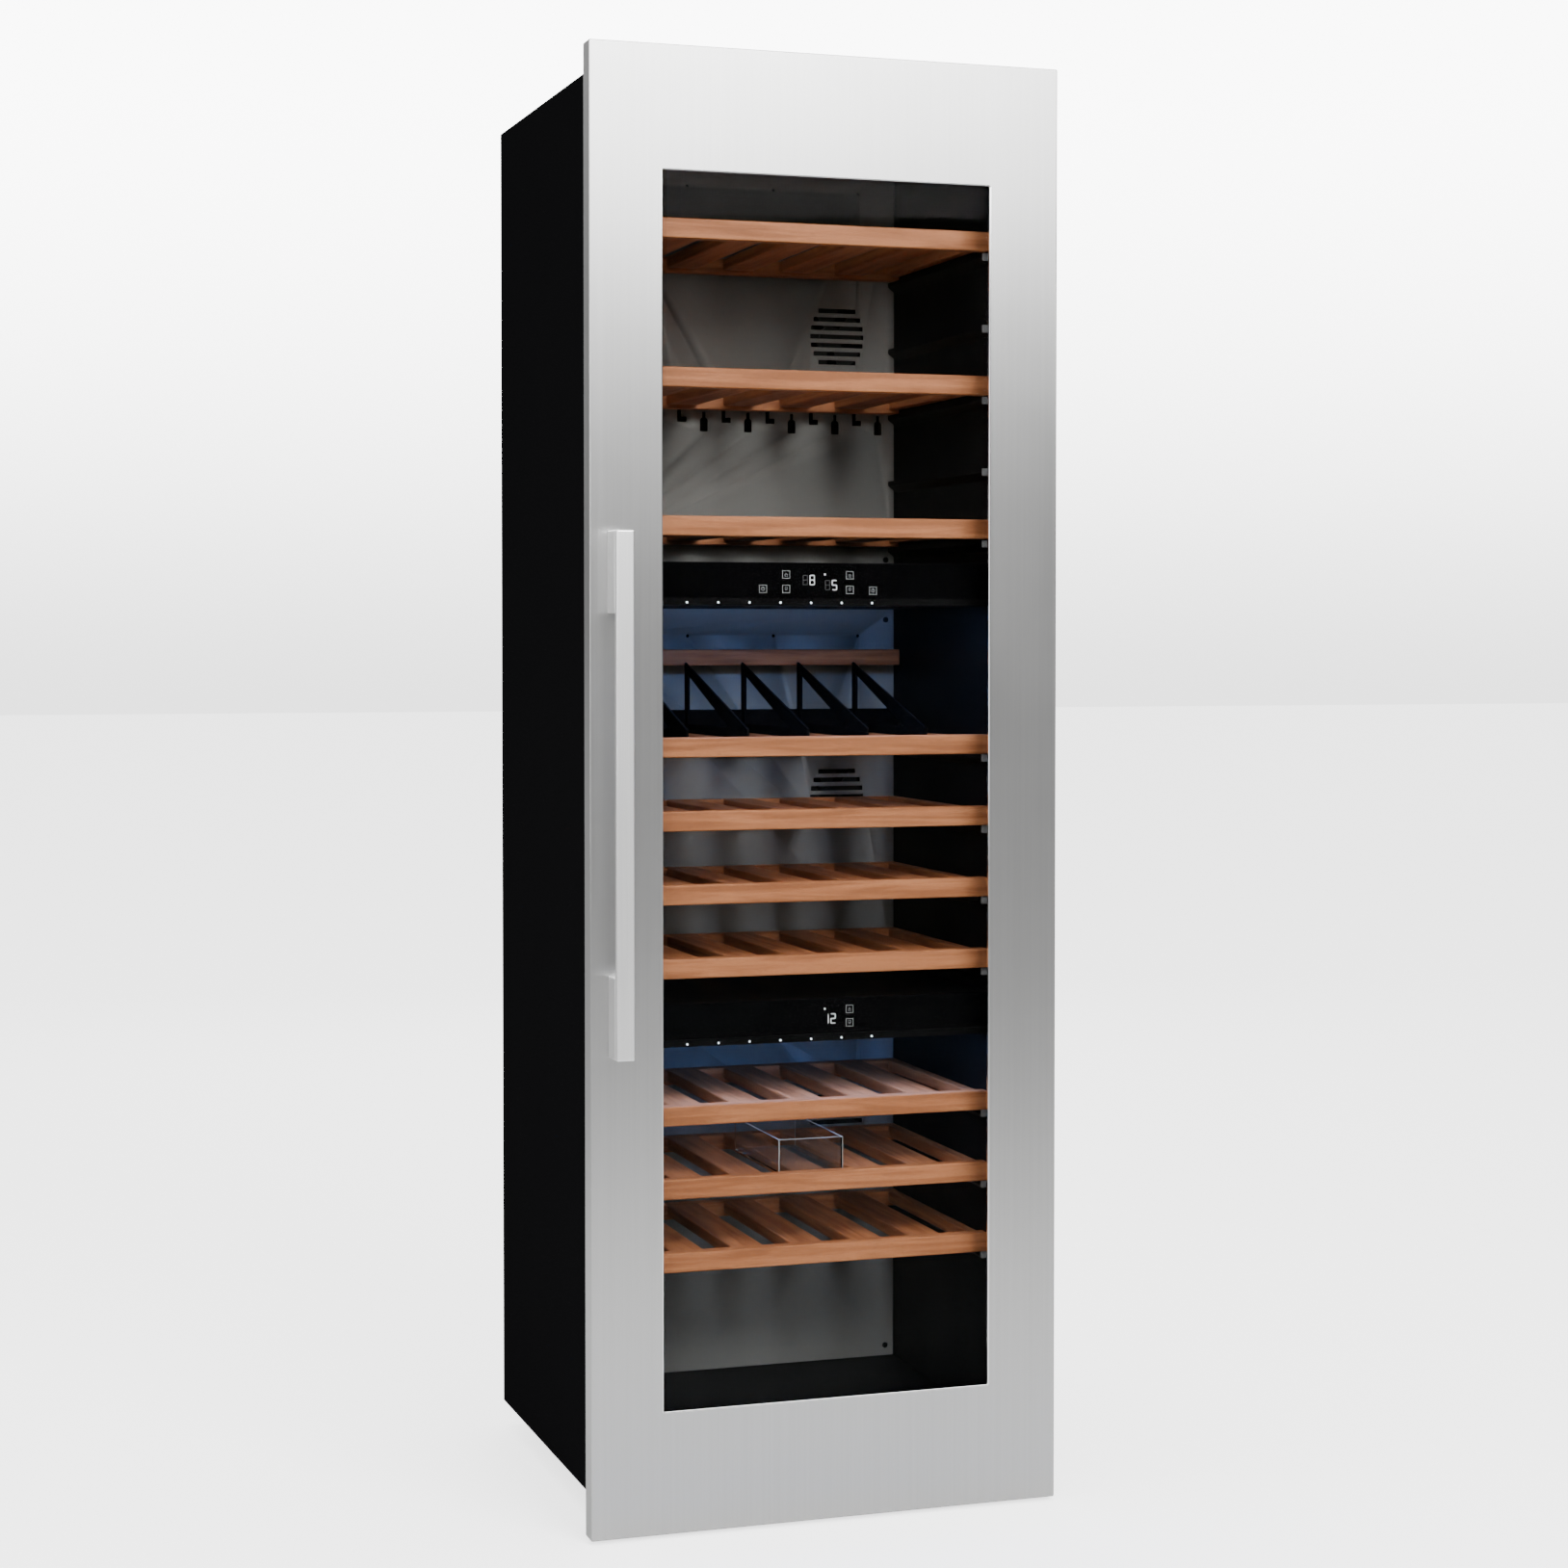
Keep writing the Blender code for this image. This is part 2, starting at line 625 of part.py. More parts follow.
def zone_divider(name, top):
    """The insulated housing behind one control panel, with the lip that carries its lights."""
    half = PANEL_HALF_WIDTH
    bottom = top - PANEL_HEIGHT - LIGHT_LIP
    housing = Piece(name, LINER_PLASTIC)
    back = BACK_PLATE - FIT
    front = PANEL_FRONT + PANEL_GLASS + FIT
    housing.start(boxes=[(-half, half, front, back, bottom, top)])
    lip_back = front + PANEL_LIP_DEPTH
    housing.join(boxes=[(-half, half, PANEL_FRONT, lip_back, bottom, bottom + LIGHT_LIP - FIT)])
    pocket = (
        -BOARD_HALF_WIDTH - 0.005,
        BOARD_HALF_WIDTH + 0.005,
        front - PAST,
        front + 0.014,
        top - BOARD_LOW - 0.002,
        top - BOARD_HIGH + 0.002,
    )
    housing.cut(boxes=[pocket])
    groove = (
        STRIP_LEFT - STRIP_GAP,
        STRIP_RIGHT + STRIP_GAP,
        PANEL_FRONT + STRIP_FRONT - STRIP_GAP,
        PANEL_FRONT + STRIP_BACK + STRIP_GAP,
        bottom - PAST,
        bottom + STRIP_HEIGHT + STRIP_GAP / 2,
    )
    return housing.cut(boxes=[groove])


def control_panel(name, top):
    half = PANEL_HALF_WIDTH
    panel = Piece(name, BLACK_GLASS)
    return panel.start(
        boxes=[(-half, half, PANEL_FRONT, PANEL_FRONT + PANEL_GLASS, top - PANEL_HEIGHT, top)]
    )


def control_board(name, top):
    """The circuit board in the divider's pocket, with the figure display on its face."""
    board = Piece(name, BOARD)
    front = PANEL_FRONT + PANEL_GLASS + FIT
    near = front + BOARD_GAP
    far = near + BOARD_THICKNESS
    board.start(boxes=[(-BOARD_HALF_WIDTH, BOARD_HALF_WIDTH, near, far, top - BOARD_LOW, top - BOARD_HIGH)])
    display_low = top - BOARD_LOW + 0.004
    display_high = top - BOARD_HIGH - 0.004
    return board.join(
        boxes=[(DISPLAY_LEFT, DISPLAY_RIGHT, front + 0.001, near + 0.001, display_low, display_high)]
    )


def light_strip(name, top):
    """A clear cover over a row of small lamps, let into the lip's underside."""
    bottom = top - PANEL_HEIGHT - LIGHT_LIP
    strip = Piece(name, LAMP)
    near = PANEL_FRONT + STRIP_FRONT
    far = PANEL_FRONT + STRIP_BACK
    return strip.start(boxes=[(STRIP_LEFT, STRIP_RIGHT, near, far, bottom + 0.0002, bottom + STRIP_HEIGHT)])


# Hinges


HINGE_PIN_RADIUS = 0.004
BUSH_BORE_RADIUS = 0.0043
BUSH_RADIUS = 0.0065
BUSH_HOLE_RADIUS = 0.0068


def hinge_bracket(name, plate_low, pin_low, pin_high):
    """A steel plate fixed to the cabinet, with the pin that the door turns on."""
    bracket = Piece(name, ZINC)
    y = FRONT + HINGE_DEPTH
    bracket.start(
        boxes=[(HINGE_X - 0.060, HINGE_X - 0.012, 0.036, 0.090, plate_low, plate_low + HINGE_PLATE)]
    )
    arm = [
        (HINGE_X - 0.050, y + 0.022),
        (HINGE_X - 0.012, y + 0.022),
        (HINGE_X + 0.006, y + 0.004),
        (HINGE_X + 0.006, y - 0.006),
        (HINGE_X - 0.006, y - 0.006),
        (HINGE_X - 0.012, y + 0.004),
    ]
    bracket.join(prisms=[{"outline": arm, "low": plate_low, "high": plate_low + HINGE_PLATE, "axis": "Z"}])
    near = (HINGE_X, y, pin_low)
    far = (HINGE_X, y, pin_high)
    pin = {"start": near, "end": far, "radius": HINGE_PIN_RADIUS, "sides": 16}
    return bracket.join(rods=[pin])


def hinge_bush(name, low, high, group):
    """A plastic bush pressed into the door's frame, running on the pin."""
    bush = Piece(name, BLACK_PLASTIC, group)
    y = FRONT + HINGE_DEPTH
    near = (HINGE_X, y, low)
    far = (HINGE_X, y, high)
    bush.start(rods=[{"start": near, "end": far, "radius": BUSH_RADIUS, "sides": 16}])
    near = (HINGE_X, y, low - PAST)
    far = (HINGE_X, y, high + PAST)
    return bush.cut(rods=[{"start": near, "end": far, "radius": BUSH_BORE_RADIUS, "sides": 16}])


# Door

SKIN = 0.0012
WINDOW_LOW = DOOR_LIFT + WINDOW_BORDER
WINDOW_HIGH = DOOR_TOP - WINDOW_BORDER
GLASS_RECESS = 0.0055
PANE = 0.004
INNER_PANE_BACK = DOOR_THICKNESS
HALF_DOOR = DOOR_WIDTH / 2
GLASS_MARGIN = 0.016
TOP_BRACKET_LOW = CASE_TOP + FIT
BOTTOM_BRACKET_LOW = CASE_BOTTOM - FIT - HINGE_PLATE
HINGE_POCKET_FRONT = 0.0035
HINGE_POCKET_LEFT = HINGE_X - 0.075
HINGE_POCKET_RIGHT = HINGE_X + 0.0095


def hinge_notches(left):
    """The slots in the door's hinge side that let the bracket arms out as the door swings."""
    notches = []
    for low in (TOP_BRACKET_LOW, BOTTOM_BRACKET_LOW):
        notch_low = low - 0.001
        notch_high = low + HINGE_PLATE + 0.001
        notches.append(
            (left, HALF_DOOR + PAST, HINGE_NOTCH_DEPTH, DOOR_THICKNESS + PAST, notch_low, notch_high)
        )
    return notches


def door_fascia(door):
    """The folded steel front: a flat sheet with returns at its edges and round its window."""
    fascia = Piece("door_fascia", STEEL, door)
    fascia.start(boxes=[(-HALF_DOOR, HALF_DOOR, 0.0, DOOR_THICKNESS, DOOR_LIFT, DOOR_TOP)])
    inside = (
        -HALF_DOOR + SKIN,
        HALF_DOOR - SKIN,
        SKIN,
        DOOR_THICKNESS + PAST,
        DOOR_LIFT + SKIN,
        DOOR_TOP - SKIN,
    )
    fascia.cut(boxes=[inside])
    half = WINDOW_HALF_WIDTH
    fascia.join(
        boxes=[
            (
                -half - SKIN,
                half + SKIN,
                SKIN / 2,
                GLASS_RECESS - FIT,
                WINDOW_LOW - SKIN,
                WINDOW_HIGH + SKIN,
            )
        ]
    )
    fascia.cut(boxes=[(-half, half, -PAST, DOOR_THICKNESS + PAST, WINDOW_LOW, WINDOW_HIGH)])
    return fascia.cut(boxes=hinge_notches(HALF_DOOR - 0.002))


def door_inner_frame(door):
    """The plastic frame that fills the fascia, holds the glass and takes the gasket and the hinge bushes."""
    gap = SKIN + FIT
    frame = Piece("door_inner_frame", FRAME_PLASTIC, door)
    frame.start(
        boxes=[
            (
                -HALF_DOOR + gap,
                HALF_DOOR - gap,
                gap,
                DOOR_THICKNESS,
                DOOR_LIFT + gap,
                DOOR_TOP - gap,
            )
        ]
    )
    half = WINDOW_HALF_WIDTH + SKIN + FIT
    opening = (-half, half, -PAST, DOOR_THICKNESS + PAST, WINDOW_LOW - SKIN - FIT, WINDOW_HIGH + SKIN + FIT)
    frame.cut(boxes=[opening])
    margin = WINDOW_HALF_WIDTH + GLASS_MARGIN + FIT
    rebate = (
        -margin,
        margin,
        GLASS_RECESS - FIT,
        DOOR_THICKNESS + PAST,
        WINDOW_LOW - GLASS_MARGIN - FIT,
        WINDOW_HIGH + GLASS_MARGIN + FIT,
    )
    frame.cut(boxes=[rebate])
    y = FRONT + HINGE_DEPTH
    bores = []
    upper_bore = (TOP_BRACKET_LOW - 0.016, DOOR_TOP - 0.004)
    lower_bore = (DOOR_LIFT + 0.004, BOTTOM_BRACKET_LOW + 0.020)
    for low, high in (upper_bore, lower_bore):
        near = (HINGE_X, y, low)
        far = (HINGE_X, y, high)
        bores.append({"start": near, "end": far, "radius": BUSH_HOLE_RADIUS, "sides": 16})
    frame.cut(rods=bores)
    pockets = []
    for low in (TOP_BRACKET_LOW, BOTTOM_BRACKET_LOW):
        pocket = (
            HINGE_POCKET_LEFT,
            HINGE_POCKET_RIGHT,
            HINGE_POCKET_FRONT,
            DOOR_THICKNESS + PAST,
            low - 0.002,
            low + HINGE_PLATE + 0.002,
        )
        pockets.append(pocket)
    frame.cut(boxes=pockets)
    return frame.cut(boxes=hinge_notches(HINGE_X + 0.005))


def pane(name, depth, door):
    margin = WINDOW_HALF_WIDTH + GLASS_MARGIN
    glass = Piece(name, DOOR_GLASS, door)
    return glass.start(
        boxes=[(-margin, margin, depth, depth + PANE, WINDOW_LOW - GLASS_MARGIN, WINDOW_HIGH + GLASS_MARGIN)]
    )


def frame_shape(piece, half_width, low, high, band, depth0, depth1):
    """A plain rectangular ring, given by its outer edge and the width of its band."""
    piece.start(boxes=[(-half_width, half_width, depth0, depth1, low, high)])
    inner = half_width - band
    return piece.cut(boxes=[(-inner, inner, depth0 - PAST, depth1 + PAST, low + band, high - band)])


SPACER_BAND = 0.008
GASKET_HALF_WIDTH = 0.262
GASKET_LOW = 0.062
GASKET_HIGH = 1.741
GASKET_BAND = 0.016


def glass_spacer(door):
    spacer = Piece("glass_spacer", SPACER_METAL, door)
    margin = WINDOW_HALF_WIDTH + GLASS_MARGIN - 0.001
    low = WINDOW_LOW - GLASS_MARGIN + 0.001
    high = WINDOW_HIGH + GLASS_MARGIN - 0.001
    depth0 = GLASS_RECESS + PANE + FIT
    depth1 = INNER_PANE_BACK - PANE - FIT
    return frame_shape(spacer, margin, low, high, SPACER_BAND, depth0, depth1)


def door_gasket(door):
    gasket = Piece("door_gasket", SEAL_RUBBER, door)
    depth0 = DOOR_THICKNESS + FIT
    depth1 = CASE_FRONT - FIT
    return frame_shape(gasket, GASKET_HALF_WIDTH, GASKET_LOW, GASKET_HIGH, GASKET_BAND, depth0, depth1)


def rounded_bar(name, material, group, half_width, depth0, depth1, low, high, radius):
    """An upright flat bar with its long edges rounded in plan."""
    bar = Piece(name, material, group)
    outline = []
    y0 = FRONT + depth0
    y1 = FRONT + depth1
    corners = [
        (HANDLE_X + half_width - radius, y1 - radius, 0.0),
        (HANDLE_X - half_width + radius, y1 - radius, 0.5),
        (HANDLE_X - half_width + radius, y0 + radius, 1.0),
        (HANDLE_X + half_width - radius, y0 + radius, 1.5),
    ]
    for x, y, turn in corners:
        for index in range(3):
            angle = math.pi * (turn + index / 4)
            outline.append((x + radius * math.cos(angle), y + radius * math.sin(angle)))
    bar.start(prisms=[{"outline": outline, "low": low, "high": high, "axis": "Z"}])
    return bar


def handle(door):
    half = HANDLE_WIDTH / 2
    front = -HANDLE_REACH
    back = front + HANDLE_THICKNESS
    low = HANDLE_BOTTOM
    high = HANDLE_BOTTOM + HANDLE_LENGTH
    rounded_bar("handle_bar", STEEL, door, half, front, back, low, high, 0.0025)
    reach = (back + FIT, -FIT)
    rounded_bar("upper_handle_post", STEEL, door, half, *reach, high - HANDLE_POST_HEIGHT, high, 0.002)
    rounded_bar("lower_handle_post", STEEL, door, half, *reach, low, low + HANDLE_POST_HEIGHT, 0.002)


# Shelves


def shelf(step, group):
    """A beech shelf: slats from front to back between a front rail and a rear rail."""
    top = shelf_top(step)
    slat_top = top - SLAT_DROP
    slat_low = slat_top - SLAT_THICKNESS
    half = SHELF_HALF_WIDTH
    made = Piece("shelf_%02d" % (SHELF_STEPS.index(step) + 1), BEECH, group)
    made.start(boxes=[(-half, half, SHELF_FRONT, SHELF_BACK, slat_low, slat_top)])
    gaps = []
    for index in range(-3, 3):
        left = index * SLAT_SPACING + SLAT_WIDTH / 2
        right = (index + 1) * SLAT_SPACING - SLAT_WIDTH / 2
        near = SHELF_FRONT + RAIL_THICKNESS
        far = SHELF_BACK - RAIL_THICKNESS
        gaps.append((left, right, near, far, slat_low - PAST, slat_top + PAST))
    made.cut(boxes=gaps)
    rails = [
        (-half, half, SHELF_FRONT - 0.0001, SHELF_FRONT + RAIL_THICKNESS, top - RAIL_HEIGHT, top),
        (-half, half, SHELF_BACK - RAIL_THICKNESS, SHELF_BACK + 0.0001, top - RAIL_HEIGHT, slat_top + 0.0001),
    ]
    return made.join(boxes=rails)


RACK_RISE = 0.092
RACK_STRIP = 0.003
RACK_FRONT = 0.078
RACK_BACK = 0.350
RACK_HALF_WIDTH = 0.220
RACK_TIE_HEIGHT = 0.030
DISPLAY_RAIL_HALF_WIDTH = 0.222
DISPLAY_RAIL_HEIGHT = 0.021


def display_rack(group):
    """Thin steel strips that slope up to the raised rail, so that bottles lie with their labels in view."""
    low = shelf_top(DISPLAY_STEP) - SLAT_DROP + FIT
    front = FRONT + RACK_FRONT
    back = FRONT + RACK_BACK
    outline = [(front, low), (back, low), (back, low + RACK_RISE), (front, low + 0.012)]
    hollow_back = back - 0.015
    hollow = [
        (front + 0.075, low + 0.012),
        (hollow_back, low + 0.012),
        (hollow_back, low + RACK_RISE - 0.016),
    ]
    rack = Piece("display_rack", BLACK_SHEET, group)
    tie_front = RACK_BACK - RACK_STRIP
    rack.start(boxes=[(-RACK_HALF_WIDTH, RACK_HALF_WIDTH, tie_front, RACK_BACK, low, low + RACK_TIE_HEIGHT)])
    strips = []
    openings = []
    for index in range(-2, 3):
        x = index * SLAT_SPACING
        strip_low = x - RACK_STRIP / 2
        strip_high = x + RACK_STRIP / 2
        strips.append({"outline": outline, "low": strip_low, "high": strip_high, "axis": "X"})
        openings.append({"outline": hollow, "low": x - PAST, "high": x + PAST, "axis": "X"})
    rack.join(prisms=strips)
    return rack.cut(prisms=openings)


def display_rail(group):
    low = shelf_top(DISPLAY_STEP) - SLAT_DROP + FIT + RACK_RISE - 0.004
    rail = Piece("display_rail", BEECH, group)
    half = DISPLAY_RAIL_HALF_WIDTH
    back = RACK_BACK + RAIL_THICKNESS
    return rail.start(boxes=[(-half, half, RACK_BACK + FIT, back, low, low + DISPLAY_RAIL_HEIGHT)])


TRAY_HALF_WIDTH = 0.042
TRAY_FRONT = 0.0675
TRAY_BACK = 0.250
TRAY_HEIGHT = 0.042
TRAY_WALL = 0.0025


def humidity_tray(group):
    """A clear open box that stands on a shelf."""
    low = shelf_top(TRAY_STEP) - SLAT_DROP + FIT
    tray = Piece("humidity_tray", ACRYLIC, group)
    wall = TRAY_WALL
    half = TRAY_HALF_WIDTH
    tray.start(boxes=[(-half, half, TRAY_FRONT, TRAY_BACK, low, low + TRAY_HEIGHT)])
    top = low + TRAY_HEIGHT + PAST
    return tray.cut(boxes=[(-half + wall, half - wall, TRAY_FRONT + wall, TRAY_BACK - wall, low + wall, top)])


PAD_HEIGHT = 0.012
PAD_RADIUS = 0.020
PAD_TOP_RADIUS = 0.016
HEXAGON_RADIUS = 0.011
HEXAGON_TOP = 0.0335
STUD_RADIUS = 0.005
STUD_TOP = 0.052


def levelling_foot(name, group):
    """A threaded stud with a hexagon and a moulded pad."""
    x, y = group.location[:2]
    foot = Piece(name, BLACK_PLASTIC, group)
    pad = {
        "start": (x, y, 0.0),
        "end": (x, y, PAD_HEIGHT),
        "radius": PAD_RADIUS,
        "end_radius": PAD_TOP_RADIUS,
    }
    foot.start(rods=[pad])
    hexagon = {"start": (x, y, PAD_HEIGHT - 0.001), "end": (x, y, HEXAGON_TOP), "radius": HEXAGON_RADIUS}
    foot.join(rods=[{**hexagon, "sides": 6}])
    stud = {"start": (x, y, HEXAGON_TOP - 0.0035), "end": (x, y, STUD_TOP), "radius": STUD_RADIUS}
    foot.join(rods=[{**stud, "sides": 12}])
    return foot.smooth()


# Assembly

side_panel("left_side_panel", -1)
side_panel("right_side_panel", 1)
top_panel()
base_panel()
rear_cover()
rear_grille()
insulation()
inner_liner()

for zone_name, zone in ZONES.items():
    fan_height = zone[2]
    back_plate(zone_name)
    evaporator(zone_name)
    fan_axis = pivot(zone_name + "_fan_axis", FAN_X, FAN_DEPTH, fan_height)
    fan(zone_name + "_fan", FAN_X, FAN_DEPTH, fan_height, FAN_RADIUS, fan_axis)

compressor()
condensate_tray()
condenser()
condenser_place = (CONDENSER_FAN_X, CONDENSER_FAN_DEPTH, CONDENSER_FAN_Z)
condenser_axis = pivot("condenser_fan_axis", *condenser_place)
fan("condenser_fan", *condenser_place, CONDENSER_FAN_RADIUS, condenser_axis)
mains_inlet()

for panel_name, panel_top in (("upper", UPPER_PANEL_TOP), ("lower", LOWER_PANEL_TOP)):
    zone_divider(panel_name + "_zone_divider", panel_top)
    control_panel(panel_name + "_control_panel", panel_top)
    control_board(panel_name + "_control_board", panel_top)
    light_strip(panel_name + "_light_strip", panel_top)

top_pin = (TOP_BRACKET_LOW - 0.012, TOP_BRACKET_LOW + 0.002)
bottom_pin = (BOTTOM_BRACKET_LOW + 0.002, BOTTOM_BRACKET_LOW + 0.016)
hinge_bracket("top_hinge_bracket", TOP_BRACKET_LOW, *top_pin)
hinge_bracket("bottom_hinge_bracket", BOTTOM_BRACKET_LOW, *bottom_pin)

door_axis = pivot("door_hinge", HINGE_X, HINGE_DEPTH, 0.0)
door_fascia(door_axis)
door_inner_frame(door_axis)
pane("outer_glass", GLASS_RECESS, door_axis)
pane("inner_glass", INNER_PANE_BACK - PANE, door_axis)
glass_spacer(door_axis)
door_gasket(door_axis)
hinge_bush("top_hinge_bush", TOP_BRACKET_LOW - 0.0155, TOP_BRACKET_LOW - 0.0025, door_axis)
hinge_bush("bottom_hinge_bush", BOTTOM_BRACKET_LOW + 0.0065, BOTTOM_BRACKET_LOW + 0.0195, door_axis)
handle(door_axis)

for shelf_number, shelf_step in enumerate(SHELF_STEPS, start=1):
    slide = pivot("shelf_slide_%02d" % shelf_number, 0.0, SHELF_FRONT, shelf_top(shelf_step))
    shelf(shelf_step, slide)
    if shelf_step == DISPLAY_STEP:
        display_rack(slide)
        display_rail(slide)

tray_lift = pivot("tray_lift", 0.0, 0.159, shelf_top(TRAY_STEP))
humidity_tray(tray_lift)

for foot_side, foot_x in (("left", -LEVELLING_FOOT_X), ("right", LEVELLING_FOOT_X)):
    for foot_end, foot_depth in zip(("front", "rear"), LEVELLING_FOOT_DEPTHS):
        foot_name = foot_end + "_" + foot_side + "_foot"
        levelling_foot(foot_name, pivot(foot_name + "_axis", foot_x, foot_depth, 0.0))
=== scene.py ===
import math

import bmesh
import bpy
from mathutils import Matrix, Vector


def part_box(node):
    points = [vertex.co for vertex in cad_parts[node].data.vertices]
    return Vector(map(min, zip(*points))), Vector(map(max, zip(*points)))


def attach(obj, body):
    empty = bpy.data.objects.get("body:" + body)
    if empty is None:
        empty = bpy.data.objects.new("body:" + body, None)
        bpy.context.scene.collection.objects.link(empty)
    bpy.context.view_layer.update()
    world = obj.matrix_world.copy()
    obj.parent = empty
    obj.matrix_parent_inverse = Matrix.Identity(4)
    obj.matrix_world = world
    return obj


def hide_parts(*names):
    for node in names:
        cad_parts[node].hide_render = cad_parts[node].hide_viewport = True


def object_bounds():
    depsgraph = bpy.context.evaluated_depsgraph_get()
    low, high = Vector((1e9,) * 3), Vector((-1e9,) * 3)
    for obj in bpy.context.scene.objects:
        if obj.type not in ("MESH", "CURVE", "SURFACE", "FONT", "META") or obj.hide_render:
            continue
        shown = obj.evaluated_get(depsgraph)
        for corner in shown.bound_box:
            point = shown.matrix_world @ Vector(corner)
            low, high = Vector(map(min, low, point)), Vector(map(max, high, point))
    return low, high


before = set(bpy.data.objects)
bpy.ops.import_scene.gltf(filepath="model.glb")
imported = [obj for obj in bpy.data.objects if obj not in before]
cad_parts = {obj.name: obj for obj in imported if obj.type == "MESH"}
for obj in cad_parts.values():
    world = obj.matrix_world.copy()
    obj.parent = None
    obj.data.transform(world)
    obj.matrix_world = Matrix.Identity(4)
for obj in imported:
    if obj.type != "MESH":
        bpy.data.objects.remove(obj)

cad_low, cad_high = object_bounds()


# Studio
# A white floor under a soft, even light. The cooler stands on its feet in the middle of it, and the camera
# looks at the door from its handle side, a little above half height.

door_low, door_high = (Vector(corner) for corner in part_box("door_fascia"))
FRONT = door_low.y  # the door's front face
FLOOR_HALF = 40.0
FLOOR_DROP = 0.0005  # below the pads of the feet

CAMERA_SIDE = -1.1632
CAMERA_DISTANCE = 3.3439  # from the door's front
CAMERA_HEIGHT = 1.0668  # above the door's lower edge
CAMERA_TILT = 88.46
CAMERA_TURN = -18.30

camera_data = bpy.data.cameras.new("camera")
camera = bpy.data.objects.new("camera", camera_data)
bpy.context.scene.collection.objects.link(camera)
camera.location = (CAMERA_SIDE, FRONT - CAMERA_DISTANCE, door_low.z + CAMERA_HEIGHT)
camera.rotation_euler = (math.radians(CAMERA_TILT), 0.0, math.radians(CAMERA_TURN))
camera_data.lens = 67.38
camera_data.sensor_width = 36.0
camera_data.shift_y = -0.041
bpy.context.scene.camera = camera


def fill_node(tree, kind, settings=(), **values):
    """Adds a node, sets its properties, and sets its inputs by their names with _ for a space."""
    node = tree.nodes.new(kind)
    for key, value in dict(settings).items():
        setattr(node, key, value)
    for key, value in values.items():
        node.inputs[key.replace("_", " ")].default_value = value
    return node


def wire(tree, *pairs):
    """Links each (output, input) pair of sockets."""
    for source, target in pairs:
        tree.links.new(source, target)


def new_surface(name, **values):
    """A material, its node tree and its Principled shader, whose inputs are set by their names."""
    material = bpy.data.materials.new(name)
    material.use_nodes = True
    shader = material.node_tree.nodes["Principled BSDF"]
    for key, value in values.items():
        shader.inputs[key.replace("_", " ")].default_value = value
    return material, material.node_tree, shader


floor_mesh = bmesh.new()
bmesh.ops.create_grid(floor_mesh, x_segments=8, y_segments=8, size=FLOOR_HALF)
floor_data = bpy.data.meshes.new("floor")
floor_mesh.to_mesh(floor_data)
floor_mesh.free()
floor = bpy.data.objects.new("floor", floor_data)
floor.location.z = -FLOOR_DROP
bpy.context.scene.collection.objects.link(floor)
white = (1.0, 1.0, 1.0, 1.0)
# To the camera the floor glows evenly white. To every other ray its colour is painted darker, and darker
# still away from the cooler: painted shade in what the door reflects and in the light the floor bounces.
floor_paint, floor_tree, floor_shader = new_surface("floor_paint", Roughness=0.6, Emission_Color=white)
floor_place = fill_node(floor_tree, "ShaderNodeTexCoord")
floor_reach = fill_node(floor_tree, "ShaderNodeVectorMath", {"operation": "LENGTH"})
floor_painted_shade = fill_node(
    floor_tree,
    "ShaderNodeMapRange",
    {"interpolation_type": "SMOOTHSTEP"},
    From_Min=0.9,
    From_Max=3.6,
    To_Min=0.56,
    To_Max=0.27,
)
floor_seen = fill_node(floor_tree, "ShaderNodeLightPath")
floor_tone = fill_node(floor_tree, "ShaderNodeMix", B=0.86)
floor_glow = fill_node(floor_tree, "ShaderNodeMath", {"operation": "MULTIPLY"})
floor_glow.inputs[1].default_value = 2.2
wire(
    floor_tree,
    (floor_place.outputs["Object"], floor_reach.inputs[0]),
    (floor_reach.outputs["Value"], floor_painted_shade.inputs["Value"]),
    (floor_seen.outputs["Is Camera Ray"], floor_tone.inputs["Factor"]),
    (floor_painted_shade.outputs["Result"], floor_tone.inputs["A"]),
    (floor_tone.outputs["Result"], floor_shader.inputs["Base Color"]),
    (floor_seen.outputs["Is Camera Ray"], floor_glow.inputs[0]),
    (floor_glow.outputs["Value"], floor_shader.inputs["Emission Strength"]),
)
floor_data.materials.append(floor_paint)

world = bpy.data.worlds.new("studio")
world.use_nodes = True
bpy.context.scene.world = world
sky = world.node_tree
room = sky.nodes["Background"]
room.inputs["Strength"].default_value = 1.0
direction = fill_node(sky, "ShaderNodeTexCoord")
height = fill_node(sky, "ShaderNodeSeparateXYZ")
remap = fill_node(sky, "ShaderNodeMapRange", From_Min=-1.0, From_Max=1.0)
bands = fill_node(sky, "ShaderNodeValToRGB")
bands.color_ramp.elements[0].position = 0.40
bands.color_ramp.elements[0].color = (0.40, 0.40, 0.40, 1.0)
bands.color_ramp.elements[1].position = 1.0
bands.color_ramp.elements[1].color = (0.85, 0.85, 0.85, 1.0)
for place, tone in ((0.50, 0.22), (0.56, 0.26), (0.68, 0.80)):
    bands.color_ramp.elements.new(place).color = (tone, tone, tone, 1.0)
backdrop = fill_node(sky, "ShaderNodeBackground")
sweep = fill_node(
    sky,
    "ShaderNodeMapRange",
    {"interpolation_type": "SMOOTHSTEP"},
    From_Min=-0.03,
    From_Max=0.20,
    To_Min=3.4,
    To_Max=12.0,
)
seen = fill_node(sky, "ShaderNodeLightPath")
choose = fill_node(sky, "ShaderNodeMixShader")
wire(
    sky,
    (direction.outputs["Generated"], height.inputs[0]),
    (height.outputs["Z"], remap.inputs["Value"]),
    (remap.outputs["Result"], bands.inputs["Fac"]),
    (bands.outputs["Color"], room.inputs["Color"]),
    (height.outputs["Z"], sweep.inputs["Value"]),
    (sweep.outputs["Result"], backdrop.inputs["Strength"]),
    (seen.outputs["Is Camera Ray"], choose.inputs["Fac"]),
    (room.outputs["Background"], choose.inputs[1]),
    (backdrop.outputs["Background"], choose.inputs[2]),
    (choose.outputs["Shader"], sky.nodes["World Output"].inputs["Surface"]),
)


